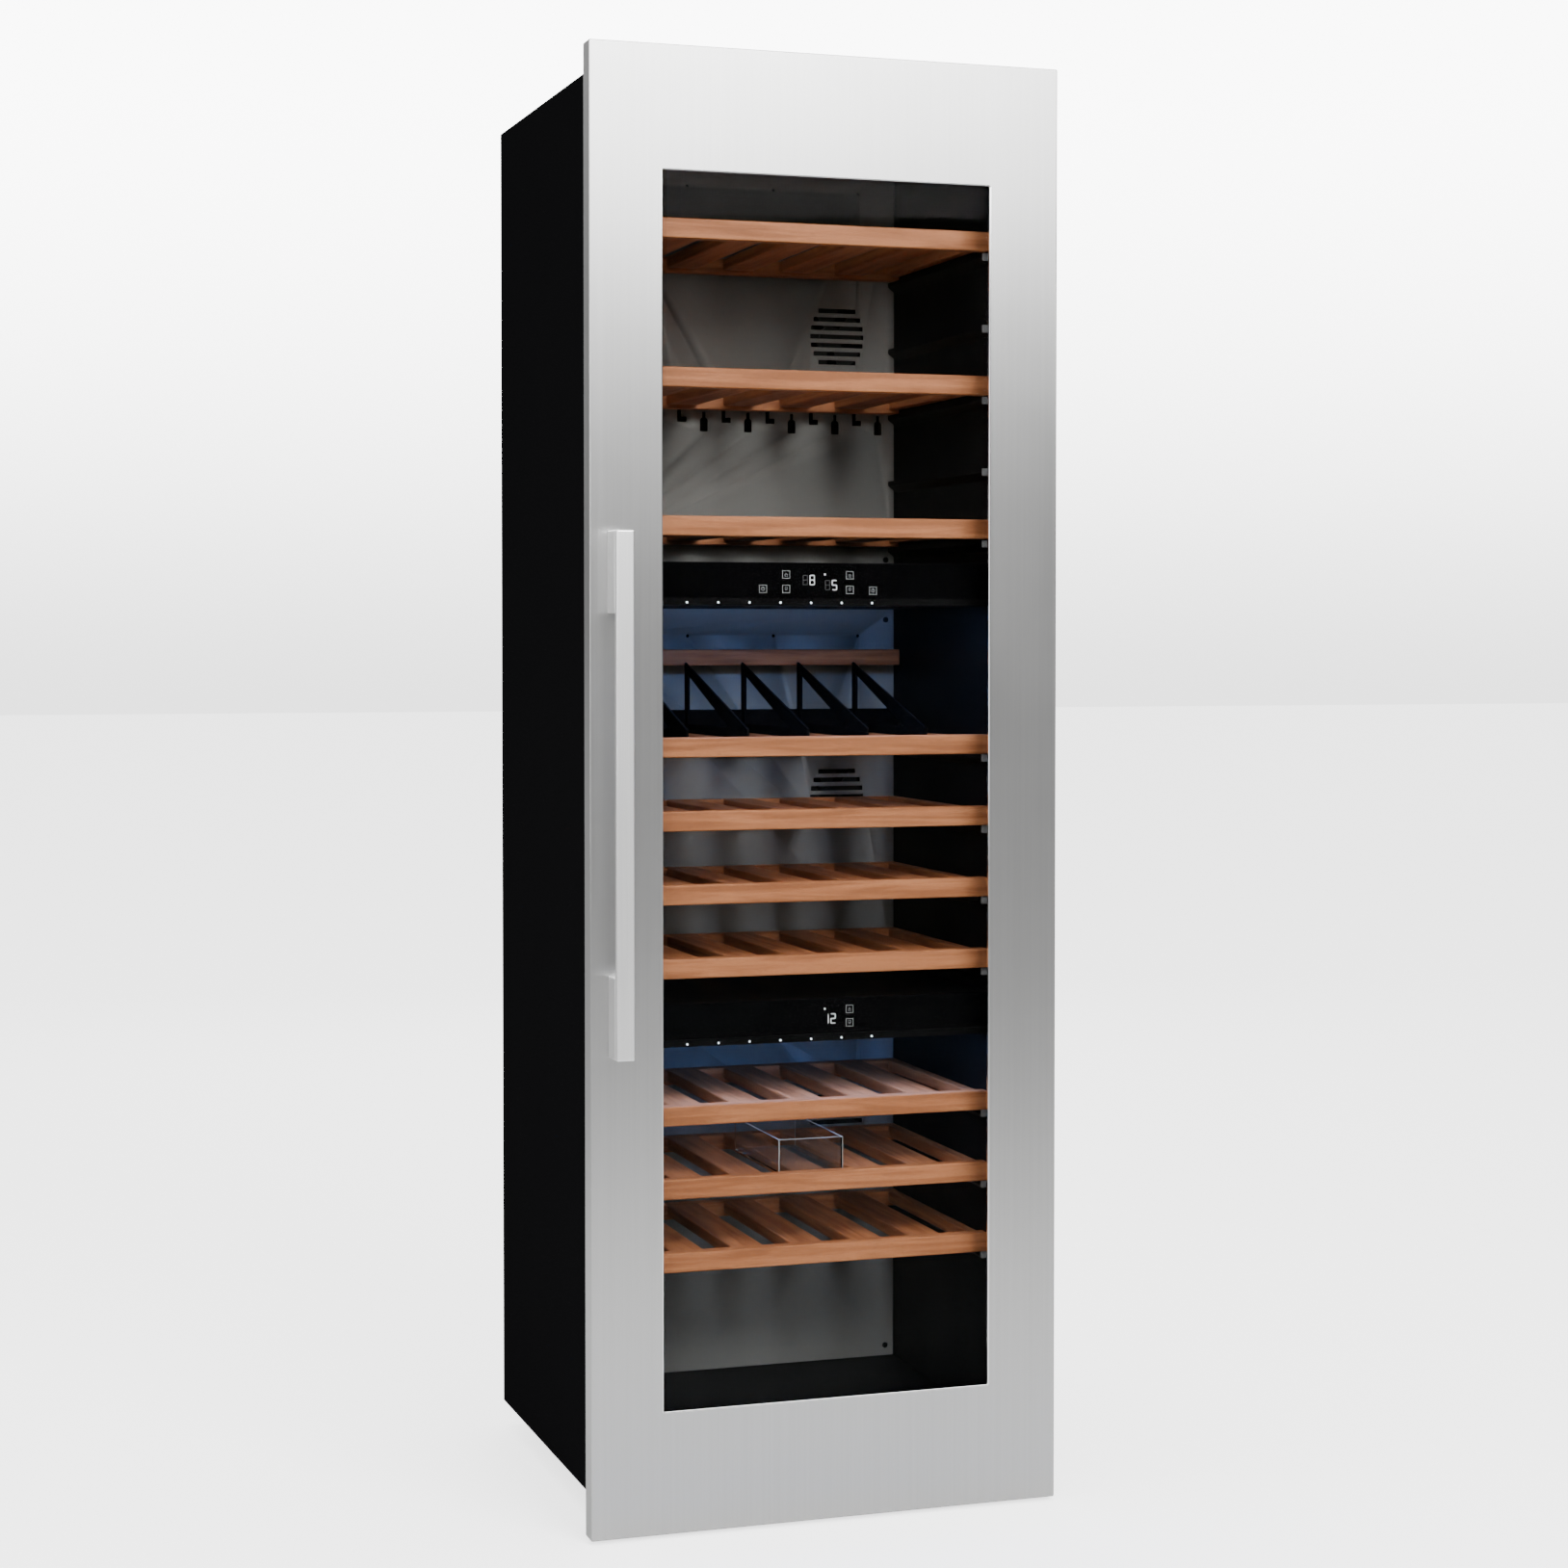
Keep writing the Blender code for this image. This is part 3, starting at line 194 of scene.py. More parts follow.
def softbox(name, place, aim, size, power, colour=(1.0, 1.0, 1.0)):
    """A rectangular lamp that points at a place."""
    data = bpy.data.lights.new(name, "AREA")
    data.shape = "RECTANGLE"
    data.size, data.size_y = size
    data.energy = power
    data.color = colour
    lamp = bpy.data.objects.new(name, data)
    lamp.location = place
    lamp.rotation_euler = (Vector(aim) - Vector(place)).to_track_quat("-Z", "Y").to_euler()
    bpy.context.scene.collection.objects.link(lamp)


middle = (cad_low[2] + cad_high[2]) / 2
softbox("key_softbox", (-1.9, -4.2, 2.6), (0.0, 0.0, middle), (1.8, 1.8), 105.0)
softbox("high_softbox", (0.9, -4.1, 3.7), (0.0, FRONT, cad_high[2]), (2.4, 1.2), 220.0)
softbox("door_softbox", (0.9, -4.1, 2.85), (0.0, FRONT, 1.6), (2.6, 1.4), 130.0)
softbox("left_softbox", (-4.0, -0.9, 1.7), (0.0, FRONT, middle), (1.6, 2.2), 45.0)
softbox("back_softbox", (0.8, 4.2, 2.6), (0.0, 0.0, middle), (3.0, 2.4), 70.0)
overhead_data = bpy.data.lights.new("overhead_light", "SUN")
overhead_data.energy = 2.1
overhead_data.angle = math.radians(50)
overhead = bpy.data.objects.new("overhead_light", overhead_data)
bpy.context.scene.collection.objects.link(overhead)


# Outer cabinet
# A box of folded sheet steel round the insulation, powder coated in satin black. Its sides, top and base are
# riveted at the corners, and the zinc-plated back is screwed on inside their rear edges.


def shader_group(name, inputs, outputs):
    """A node group with its sockets: (socket name, socket type, default) for each input."""
    group = bpy.data.node_groups.new(name, "ShaderNodeTree")
    for socket_name, socket_type, default in inputs:
        socket = group.interface.new_socket(socket_name, in_out="INPUT", socket_type=socket_type)
        socket.default_value = default
    for socket_name, socket_type in outputs:
        group.interface.new_socket(socket_name, in_out="OUTPUT", socket_type=socket_type)
    return group, group.nodes.new("NodeGroupInput"), group.nodes.new("NodeGroupOutput")


def arithmetic(tree, operation, first, second):
    """A Math node whose two inputs are sockets or numbers."""
    node = tree.nodes.new("ShaderNodeMath")
    node.operation = operation
    for place, source in enumerate((first, second)):
        if isinstance(source, (int, float)):
            node.inputs[place].default_value = source
        else:
            tree.links.new(source, node.inputs[place])
    return node.outputs[0]


def blend_colours(tree, amount, first, second, mode="MIX"):
    """A colour Mix node whose inputs are sockets, numbers or colours."""
    node = tree.nodes.new("ShaderNodeMix")
    node.data_type = "RGBA"
    node.blend_type = mode
    for socket, source in ((node.inputs[0], amount), (node.inputs[6], first), (node.inputs[7], second)):
        if isinstance(source, (int, float)):
            socket.default_value = source
        elif isinstance(source, tuple):
            socket.default_value = (*source, 1.0) if len(source) == 3 else source
        else:
            tree.links.new(source, socket)
    return node.outputs[2]


SURFACE_OUTPUTS = [
    ("Colour", "NodeSocketColor"),
    ("Roughness", "NodeSocketFloat"),
    ("Height", "NodeSocketFloat"),
]


def textured(name, group, effect_values, relief, depth, **shader_values):
    """A Principled surface whose colour, roughness and relief come from a node group."""
    material, tree, shader = new_surface(name, **shader_values)
    effect = fill_node(tree, "ShaderNodeGroup", {"node_tree": group}, **effect_values)
    bump = fill_node(tree, "ShaderNodeBump", Strength=relief, Distance=depth)
    wire(
        tree,
        (effect.outputs["Colour"], shader.inputs["Base Color"]),
        (effect.outputs["Roughness"], shader.inputs["Roughness"]),
        (effect.outputs["Height"], bump.inputs["Height"]),
        (bump.outputs["Normal"], shader.inputs["Normal"]),
    )
    return material


# Fine even grain of paint or moulded plastic, with faint dust and finger marks on it.
grain_group, grain_in, grain_out = shader_group(
    "surface_grain",
    [
        ("Colour", "NodeSocketColor", (0.02, 0.02, 0.02, 1.0)),
        ("Dust", "NodeSocketFloat", 0.1),
        ("Grain Scale", "NodeSocketFloat", 1500.0),
        ("Roughness", "NodeSocketFloat", 0.5),
        ("Roughness Spread", "NodeSocketFloat", 0.08),
    ],
    SURFACE_OUTPUTS,
)
grain_place = fill_node(grain_group, "ShaderNodeTexCoord")
grain_fine = fill_node(grain_group, "ShaderNodeTexNoise", Detail=3.0, Roughness=0.6)
grain_marks = fill_node(grain_group, "ShaderNodeTexNoise", Scale=7.0, Detail=6.0, Roughness=0.62)
wire(
    grain_group,
    (grain_place.outputs["Object"], grain_fine.inputs["Vector"]),
    (grain_place.outputs["Object"], grain_marks.inputs["Vector"]),
    (grain_in.outputs["Grain Scale"], grain_fine.inputs["Scale"]),
)
grain_shift = arithmetic(grain_group, "SUBTRACT", grain_marks.outputs["Fac"], 0.5)
grain_reach = arithmetic(grain_group, "MULTIPLY", grain_in.outputs["Roughness Spread"], 4.0)
grain_change = arithmetic(grain_group, "MULTIPLY", grain_shift, grain_reach)
grain_rough = arithmetic(grain_group, "ADD", grain_in.outputs["Roughness"], grain_change)
grain_dust = arithmetic(grain_group, "MULTIPLY", grain_marks.outputs["Fac"], grain_in.outputs["Dust"])
grain_colour = blend_colours(grain_group, grain_dust, grain_in.outputs["Colour"], (0.32, 0.31, 0.30))
wire(
    grain_group,
    (grain_colour, grain_out.inputs["Colour"]),
    (grain_rough, grain_out.inputs["Roughness"]),
    (grain_fine.outputs["Fac"], grain_out.inputs["Height"]),
)


GRAIN_DEPTH = 0.0004


def grained(
    name,
    colour,
    roughness,
    spread=0.08,
    dust=0.05,
    scale=1500.0,
    relief=0.05,
    metallic=0.0,
    coat=0.0,
    shine=0.5,
):
    """Paint or plastic: a Principled surface driven by the fine grain."""
    effect_values = {
        "Colour": (*colour, 1.0),
        "Dust": dust,
        "Grain_Scale": scale,
        "Roughness": roughness,
        "Roughness_Spread": spread,
    }
    shader_values = {"Metallic": metallic, "Coat_Weight": coat, "Specular_IOR_Level": shine}
    return textured(name, grain_group, effect_values, relief, GRAIN_DEPTH, **shader_values)


COAT_BLACK = (0.0050, 0.0050, 0.0054)
black_coat = grained("black_powder_coat", COAT_BLACK, 0.60, 0.03, 0.002, 2600.0, 0.12, shine=0.0)
ZINC_GREY = (0.56, 0.56, 0.54)
zinc_plate = grained("zinc_plate", ZINC_GREY, 0.36, 0.04, 0.06, 260.0, metallic=1.0)


def dress(node, material, softened=0.0):
    """Gives a CAD node its material, and rounds its edges a little where it asks for that."""
    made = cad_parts[node]
    made.data.materials.clear()
    made.data.materials.append(material)
    if softened:
        bevel = made.modifiers.new("edges", "BEVEL")
        bevel.width = softened
        bevel.segments = 2
        bevel.limit_method = "ANGLE"
        bevel.angle_limit = math.radians(40)
    return made


def settle(name, mesh, materials, sharp=35.0):
    """Turns a bmesh into a piece: outward faces, smooth shading with sharp corners, and its materials."""
    bmesh.ops.recalc_face_normals(mesh, faces=mesh.faces)
    data = bpy.data.meshes.new(name)
    mesh.to_mesh(data)
    mesh.free()
    data.shade_smooth()
    data.set_sharp_from_angle(angle=math.radians(sharp))
    for material in materials:
        data.materials.append(material)
    made = bpy.data.objects.new(name, data)
    bpy.context.scene.collection.objects.link(made)
    flats = made.modifiers.new("flats", "WEIGHTED_NORMAL")
    flats.keep_sharp = True
    return made


def block(mesh, low, high, radius, segments=2):
    """A box with rounded edges, added to a bmesh."""
    low = Vector(low)
    high = Vector(high)
    size = high - low
    matrix = Matrix.Translation((low + high) / 2) @ Matrix.Diagonal((*size, 1.0))
    corners = bmesh.ops.create_cube(mesh, size=1.0, matrix=matrix)["verts"]
    edges = list({edge for corner in corners for edge in corner.link_edges})
    if radius > 0:
        bmesh.ops.bevel(
            mesh,
            geom=edges,
            offset=radius,
            offset_type="OFFSET",
            segments=segments,
            profile=0.5,
            affect="EDGES",
        )


def turned(mesh, base, axis, profile, sides=24):
    """A turned shape: (radius, distance along the axis) points, spun about an axis that starts at base."""
    base = Vector(base)
    turn = Vector(axis).to_track_quat("Z", "Y").to_matrix()
    rings = []
    for radius, along in profile:
        ring = []
        for side in range(sides):
            angle = math.tau * side / sides
            point = Vector((radius * math.cos(angle), radius * math.sin(angle), along))
            ring.append(mesh.verts.new(base + turn @ point))
        rings.append(ring)
    for near, far in zip(rings, rings[1:]):
        for side in range(sides):
            after = (side + 1) % sides
            mesh.faces.new((near[side], near[after], far[after], far[side]))
    mesh.faces.new(list(reversed(rings[0])))
    mesh.faces.new(rings[-1])


def screw_head(mesh, place, axis, radius):
    """A low domed screw head with a round recess. The axis points out of the surface."""
    dome = ((1.0, 0.0), (1.0, 0.25), (0.85, 0.42), (0.5, 0.52), (0.42, 0.30))
    turned(mesh, place, axis, [(radius * out, radius * along) for out, along in dome], sides=16)


for node in ("left_side_panel", "right_side_panel", "top_panel", "base_panel"):
    dress(node, black_coat, softened=0.0004)

# The back sheet is galvanised, and stiffened by rows of long beads pressed outwards.
galvanised, spangle_tree, spangle_shader = new_surface("galvanised_sheet", Metallic=1.0)
spangle_place = fill_node(spangle_tree, "ShaderNodeTexCoord")
spangle_cells = fill_node(spangle_tree, "ShaderNodeTexVoronoi", Scale=85.0, Randomness=1.0)
spangle_cloud = fill_node(spangle_tree, "ShaderNodeTexNoise", Scale=6.0, Detail=4.0)
spangle_split = fill_node(spangle_tree, "ShaderNodeSeparateColor")
wire(
    spangle_tree,
    (spangle_place.outputs["Object"], spangle_cells.inputs["Vector"]),
    (spangle_place.outputs["Object"], spangle_cloud.inputs["Vector"]),
    (spangle_cells.outputs["Color"], spangle_split.inputs["Color"]),
)
spangle_shade = arithmetic(spangle_tree, "MULTIPLY", spangle_split.outputs[0], spangle_cloud.outputs["Fac"])
spangle_tone = blend_colours(spangle_tree, spangle_shade, (0.52, 0.53, 0.53), (0.36, 0.37, 0.38))
spangle_change = arithmetic(spangle_tree, "MULTIPLY", spangle_split.outputs[1], 0.10)
spangle_rough = arithmetic(spangle_tree, "ADD", 0.42, spangle_change)
wire(
    spangle_tree,
    (spangle_tone, spangle_shader.inputs["Base Color"]),
    (spangle_rough, spangle_shader.inputs["Roughness"]),
)

back_low, back_high = (Vector(corner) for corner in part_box("rear_cover"))
SHEET = 0.001
BEAD_COLUMNS = 4
BEAD_ROWS = 3
BEAD_WIDTH = 0.018
BEAD_HEIGHT = 0.0020
BEAD_MARGIN = 0.050  # flat sheet above and below each bead
BEAD_RUNOUT = 0.018  # over which each end of a bead fades out
BEAD_STEPS = 8
RUNOUT_STEPS = 4
bead_spacing = (back_high.x - back_low.x) / (BEAD_COLUMNS + 1)
bead_centres = [back_low.x + (column + 1) * bead_spacing for column in range(BEAD_COLUMNS)]
row_height = (back_high.z - back_low.z) / BEAD_ROWS
sheet_columns = [back_low.x]
for centre in bead_centres:
    sheet_columns += [centre + BEAD_WIDTH * (step / BEAD_STEPS - 0.5) for step in range(BEAD_STEPS + 1)]
sheet_columns.append(back_high.x)
sheet_rows = [back_low.z]
for row in range(BEAD_ROWS):
    bead_low = back_low.z + row * row_height + BEAD_MARGIN
    bead_high = back_low.z + (row + 1) * row_height - BEAD_MARGIN
    runout = [BEAD_RUNOUT * step / RUNOUT_STEPS for step in range(RUNOUT_STEPS + 1)]
    sheet_rows += [bead_low + run for run in runout]
    sheet_rows += [bead_high - run for run in reversed(runout)]
sheet_rows.append(back_high.z)


def bead_rise(x, z):
    """How far the sheet is pressed outwards at one place."""
    across = min(abs(x - centre) for centre in bead_centres) / (BEAD_WIDTH / 2)
    along = (z - back_low.z) % row_height
    end = min(along, row_height - along) - BEAD_MARGIN
    run = min(max(end / BEAD_RUNOUT, 0.0), 1.0)
    if across >= 1.0:
        return 0.0
    return BEAD_HEIGHT * (0.5 + 0.5 * math.cos(math.pi * across)) * (0.5 - 0.5 * math.cos(math.pi * run))


back_mesh = bmesh.new()
skins = []
for thickness in (0.0, SHEET):
    skin = []
    for z in sheet_rows:
        places = [(x, back_high.y + bead_rise(x, z) - thickness, z) for x in sheet_columns]
        skin.append([back_mesh.verts.new(place) for place in places])
    skins.append(skin)
for skin in skins:
    for lower, upper in zip(skin, skin[1:]):
        for column in range(len(sheet_columns) - 1):
            back_mesh.faces.new((lower[column], lower[column + 1], upper[column + 1], upper[column]))
outer_skin, inner_skin = skins
for rim in (0, -1):
    for column in range(len(sheet_columns) - 1):
        near = (outer_skin[rim][column], outer_skin[rim][column + 1])
        back_mesh.faces.new((*near, inner_skin[rim][column + 1], inner_skin[rim][column]))
    for row in range(len(sheet_rows) - 1):
        near = (outer_skin[row][rim], outer_skin[row + 1][rim])
        back_mesh.faces.new((*near, inner_skin[row + 1][rim], inner_skin[row][rim]))
back_cover = settle("rear_cover_sheet", back_mesh, [galvanised])
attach(back_cover, "cabinet")
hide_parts("rear_cover")

BACK_SCREW_ROWS = 9
BACK_SCREW_INSET = 0.010
BACK_SCREW_RADIUS = 0.0042
back_screws = bmesh.new()
screw_low = back_low.z + BACK_SCREW_INSET
screw_high = back_high.z - BACK_SCREW_INSET
for row in range(BACK_SCREW_ROWS):
    z = screw_low + row * (screw_high - screw_low) / (BACK_SCREW_ROWS - 1)
    for x in (back_low.x + BACK_SCREW_INSET, back_high.x - BACK_SCREW_INSET):
        screw_head(back_screws, (x, back_high.y, z), (0, 1, 0), BACK_SCREW_RADIUS)
for column in range(1, 4):
    x = back_low.x + column * (back_high.x - back_low.x) / 4
    for z in (screw_low, screw_high):
        screw_head(back_screws, (x, back_high.y, z), (0, 1, 0), BACK_SCREW_RADIUS)
back_fixings = settle("rear_cover_screws", back_screws, [black_coat])
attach(back_fixings, "cabinet")

dress("rear_grille", black_coat, softened=0.0003)


# Insulation and liner
# Rigid foam is blown between the outer cabinet and a vacuum-formed black liner, whose walls are moulded with
# a pair of ledges for each shelf position.

foam = grained("blown_foam", (0.70, 0.60, 0.34), 0.9, dust=0.1, scale=350.0, relief=0.5)
liner_plastic = grained("liner_plastic", (0.004, 0.004, 0.0045), 0.45, 0.05, 0.004, 700.0, 0.05, shine=0.08)
dress("insulation_foam", foam)
dress("inner_liner", liner_plastic, softened=0.0008)

# A small grey moulded stop closes the front end of each ledge.
stop_grey = grained("stop_grey", (0.30, 0.30, 0.31), 0.5, 0.04, 0.01, 900.0, 0.05)
LEDGE_STEPS = (0, 1, 2, 4, 5, 6, 7, 10, 11, 12, 13, 14)
SHELF_PITCH = 0.0891
LEDGE_FRONT = FRONT + 0.060
LEDGE_REACH = 0.012
LINER_HALF_WIDTH = 0.2325
SHELF_GAP = 0.0003  # between a shelf and its ledge
STOP_HEIGHT = 0.0095
STOP_THICKNESS = 0.003
STOP_GAP = 0.0002  # between a stop and what it touches
STOP_INSET = 0.0012  # from the ledge's edge
STOP_DROP = 0.0005  # from the ledge's top
STOP_ROUNDING = 0.0008
first_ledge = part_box("shelf_01")[0][2] - SHELF_GAP
stop_mesh = bmesh.new()
for step in LEDGE_STEPS:
    for side in (-1, 1):
        wall = side * (LINER_HALF_WIDTH - STOP_GAP)
        edge = side * (LINER_HALF_WIDTH - LEDGE_REACH + STOP_INSET)
        stop_high = first_ledge + step * SHELF_PITCH - STOP_DROP
        low = (min(wall, edge), LEDGE_FRONT - STOP_GAP - STOP_THICKNESS, stop_high - STOP_HEIGHT)
        block(stop_mesh, low, (max(wall, edge), LEDGE_FRONT - STOP_GAP, stop_high), STOP_ROUNDING)
stops = settle("ledge_stops", stop_mesh, [stop_grey])
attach(stops, "cabinet")


# Cooling
# Each zone has a finned aluminium evaporator and a small fan behind its back plate. The compressor, the
# condenser with its fan and the dish that evaporates the defrost water stand in the machine compartment.

fin_metal = grained("fin_aluminium", (0.66, 0.67, 0.68), 0.38, dust=0.08, scale=400.0, metallic=1.0)
moulded_black = grained("moulded_black", (0.016, 0.016, 0.017), 0.5, dust=0.02, scale=1200.0, relief=0.2)
enamel = grained("compressor_enamel", (0.014, 0.014, 0.016), 0.25, 0.1, 0.06, 180.0, coat=0.4)
for zone in ("upper", "middle", "lower"):
    dress(zone + "_evaporator", fin_metal)
    dress(zone + "_fan", moulded_black)
dress("condenser", fin_metal)
dress("condenser_fan", moulded_black)
dress("compressor", enamel, softened=0.002)
dress("condensate_tray", moulded_black, softened=0.0008)
dress("mains_inlet", moulded_black, softened=0.0004)


# Back plates
# Sheet steel covers, coated light grey, close off the cooling behind each zone. They are punched with rows of
# slots and bottle-shaped air holes, and held by dark screws at their corners.

PLATE_SHEET = 0.0012
plate_coat = grained("plate_coat", (0.26, 0.26, 0.25), 0.5, 0.03, 0.01, 1900.0, 0.05)
dark_screw = grained("dark_screw", (0.03, 0.03, 0.03), 0.35, metallic=1.0, scale=400.0)
SLOT_STEP = 0.06145


def angle_slot(x, z):
    """An L-shaped slot: an upright with a foot to its right."""
    foot_right = x + 0.0130
    upright_right = x + 0.0055
    foot_top = z + 0.0070
    top = z + 0.0160
    foot = [(x, z), (foot_right, z), (foot_right, foot_top)]
    return [*foot, (upright_right, foot_top), (upright_right, top), (x, top)]


BOTTLE_HALF_WIDTH = 0.0055
BOTTLE_NECK = 0.0022
BOTTLE_SIDE = 0.012  # from its base to where the shoulder starts
BOTTLE_SHOULDER = 0.014
BOTTLE_CURVE = 0.004
BOTTLE_HEIGHT = 0.026


def bottle_hole(x, z):
    """A hole in the outline of a small bottle."""
    half = [(BOTTLE_HALF_WIDTH, 0.0), (BOTTLE_HALF_WIDTH, BOTTLE_SIDE)]
    for step in range(4):
        turn = math.pi / 2 * step / 3
        out = BOTTLE_NECK + (BOTTLE_HALF_WIDTH - BOTTLE_NECK) * math.cos(turn)
        half.append((out, BOTTLE_SHOULDER + BOTTLE_CURVE * math.sin(turn)))
    half.append((BOTTLE_NECK, BOTTLE_HEIGHT))
    right = [(x + out, z + up) for out, up in half]
    left = [(x - out, z + up) for out, up in reversed(half)]
    return right + left


def round_hole(x, z, radius, sides=12):
    """The outline of a drilled hole."""
    turns = [math.tau * side / sides for side in range(sides)]
    return [(x + radius * math.cos(turn), z + radius * math.sin(turn)) for turn in turns]


def punch(piece, outlines, near, far):
    """Cuts (x, z) outlines right through a sheet that faces -Y."""
    tools = bmesh.new()
    for outline in outlines:
        front_ring = [tools.verts.new((x, near, z)) for x, z in outline]
        back_ring = [tools.verts.new((x, far, z)) for x, z in outline]
        tools.faces.new(front_ring)
        tools.faces.new(list(reversed(back_ring)))
        for index in range(len(outline)):
            after = (index + 1) % len(outline)
            tools.faces.new((front_ring[after], front_ring[index], back_ring[index], back_ring[after]))
    cutter = settle(piece.name + "_punch", tools, [])
    cut = piece.modifiers.new("punched", "BOOLEAN")
    cut.operation = "DIFFERENCE"
    cut.object = cutter
    bpy.context.view_layer.update()
    evaluated = piece.evaluated_get(bpy.context.evaluated_depsgraph_get())
    result = bpy.data.meshes.new_from_object(evaluated)
    piece.modifiers.clear()
    piece.data = result
    bpy.data.objects.remove(cutter)


FAN_HOLE_RADIUS = 0.038
FAN_SLOT = 0.006
FAN_SLOT_STEP = 0.0115
SLOT_START = -0.1970
SLOT_Z = 1.3610
BOTTLE_Z = 1.3490
BOTTLE_PLACE = 0.60  # between one slot and the next
EDGE_METAL = 0.004  # the least metal left beside a hole
PIN_HOLES = (-0.180, -0.060, 0.060, 0.180)
PIN_HOLE_DROP = 0.036
PIN_HOLE_RADIUS = 0.0022
PUNCH_REACH = 0.01
PLATE_SCREW_SIDE = 0.012
PLATE_SCREW_END = 0.014
PLATE_SCREW_RADIUS = 0.0038
for zone in ("upper", "middle", "lower"):
    low, high = (Vector(corner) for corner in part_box(zone + "_back_plate"))
    fan_low, fan_high = (Vector(corner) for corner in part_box(zone + "_fan"))
    fan_x = (fan_low.x + fan_high.x) / 2
    fan_z = (fan_low.z + fan_high.z) / 2
    plate_mesh = bmesh.new()
    block(plate_mesh, low, (high.x, low.y + PLATE_SHEET, high.z), 0.0003, 1)
    plate = settle(zone + "_back_plate_sheet", plate_mesh, [plate_coat])
    holes = []
    for row in range(-3, 4):
        reach = FAN_HOLE_RADIUS * math.sqrt(1.0 - (row / 4.2) ** 2)
        z = fan_z + row * FAN_SLOT_STEP
        slot_low = z - FAN_SLOT / 2
        slot_high = z + FAN_SLOT / 2
        left = fan_x - reach
        right = fan_x + reach
        holes.append([(left, slot_low), (right, slot_low), (right, slot_high), (left, slot_high)])
    if zone == "upper":
        for column in range(7):
            x = SLOT_START + column * SLOT_STEP
            holes.append(angle_slot(x, SLOT_Z))
            holes.append(bottle_hole(x + SLOT_STEP * BOTTLE_PLACE, BOTTLE_Z))
        holes = [hole for hole in holes if max(point[0] for point in hole) < high.x - EDGE_METAL]
    for x in PIN_HOLES:
        holes.append(round_hole(x, high.z - PIN_HOLE_DROP, PIN_HOLE_RADIUS))
    punch(plate, holes, low.y - PUNCH_REACH, high.y + PUNCH_REACH)
    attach(plate, "cabinet")
    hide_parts(zone + "_back_plate")
    plate_screws = bmesh.new()
    for x in (low.x + PLATE_SCREW_SIDE, high.x - PLATE_SCREW_SIDE):
        for z in (low.z + PLATE_SCREW_END, high.z - PLATE_SCREW_END):
            screw_head(plate_screws, (x, low.y, z), (0, -1, 0), PLATE_SCREW_RADIUS)
    fixings = settle(zone + "_back_plate_screws", plate_screws, [dark_screw])
    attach(fixings, "cabinet")


# Zone dividers and control panels
# A hollow black housing closes each zone off from the next. Its front is a strip of black glass with touch
# keys and lit figures printed behind it, and the lip below carries a row of small white lamps.

DIVIDER_BLACK = (0.003, 0.003, 0.0033)
divider_plastic = grained("divider_plastic", DIVIDER_BLACK, 0.40, 0.02, 0.001, 1400.0, 0.02, shine=0.05)
board_green = grained("board_green", (0.015, 0.12, 0.05), 0.4, dust=0.02, scale=300.0)
panel_glass = grained("panel_glass", (0.0015, 0.0015, 0.0018), 0.12, 0.02, 0.001, 60.0, 0.0, shine=0.06)


def glow(name, colour, strength):
    """A glowing mark or lamp, whose light varies a little over its face. Marks that are not lit get a painted
    glow.
    """
    lit_values = {"Base_Color": (*colour, 1.0), "Roughness": 0.3, "Emission_Strength": strength}
    material, tree, shader = new_surface(name, **lit_values)
    place = fill_node(tree, "ShaderNodeTexCoord")
    flicker = fill_node(tree, "ShaderNodeTexNoise", Scale=900.0, Detail=1.0)
    tone = blend_colours(tree, flicker.outputs["Fac"], tuple(0.85 * part for part in colour), colour)
    wire(
        tree,
        (place.outputs["Object"], flicker.inputs["Vector"]),
        (tone, shader.inputs["Emission Color"]),
    )
    return material


lit_mark = glow("lit_mark", (0.92, 0.96, 1.0), 0.8)
# The printed key marks are not lit: their faint glow is painted light.
key_mark = glow("key_mark", (0.55, 0.57, 0.60), 0.30)
# The unlit figures glow faintly as well: painted light in place of the light they would catch.
unlit_figure_painted_glow = glow("unlit_figure_painted_glow", (0.06, 0.06, 0.063), 0.04)
lamp_light = glow("lamp_light", (0.80, 0.90, 1.0), 9.0)

PROUD = 0.00012  # how far the printed marks stand off the glass
FINE_LINE = 0.0003


def stroke(mesh, start, end, width, depth):
    """A flat printed line between two (x, z) points."""
    run = Vector((end[0] - start[0], end[1] - start[1]))
    side = Vector((-run.y, run.x)).normalized() * width / 2
    along = run.normalized() * width / 2
    near = Vector(start) - along
    far = Vector(end) + along
    corners = [near + side, near - side, far - side, far + side]
    face = mesh.faces.new([mesh.verts.new((corner.x, depth, corner.y)) for corner in corners])
    raised = bmesh.ops.extrude_face_region(mesh, geom=[face])["geom"]
    for part in raised:
        if isinstance(part, bmesh.types.BMVert):
            part.co.y -= PROUD


SEGMENTS = {
    "top": ((0, 1), (1, 1)),
    "middle": ((0, 0.5), (1, 0.5)),
    "bottom": ((0, 0), (1, 0)),
    "upper_left": ((0, 0.5), (0, 1)),
    "upper_right": ((1, 0.5), (1, 1)),
    "lower_left": ((0, 0), (0, 0.5)),
    "lower_right": ((1, 0), (1, 0.5)),
}
FIGURES = {
    "1": ("upper_right", "lower_right"),
    "2": ("top", "upper_right", "middle", "lower_left", "bottom"),
    "5": ("top", "upper_left", "middle", "lower_right", "bottom"),
    "8": tuple(SEGMENTS),
}
FIGURE_WIDTH = 0.0056
FIGURE_HEIGHT = 0.0114


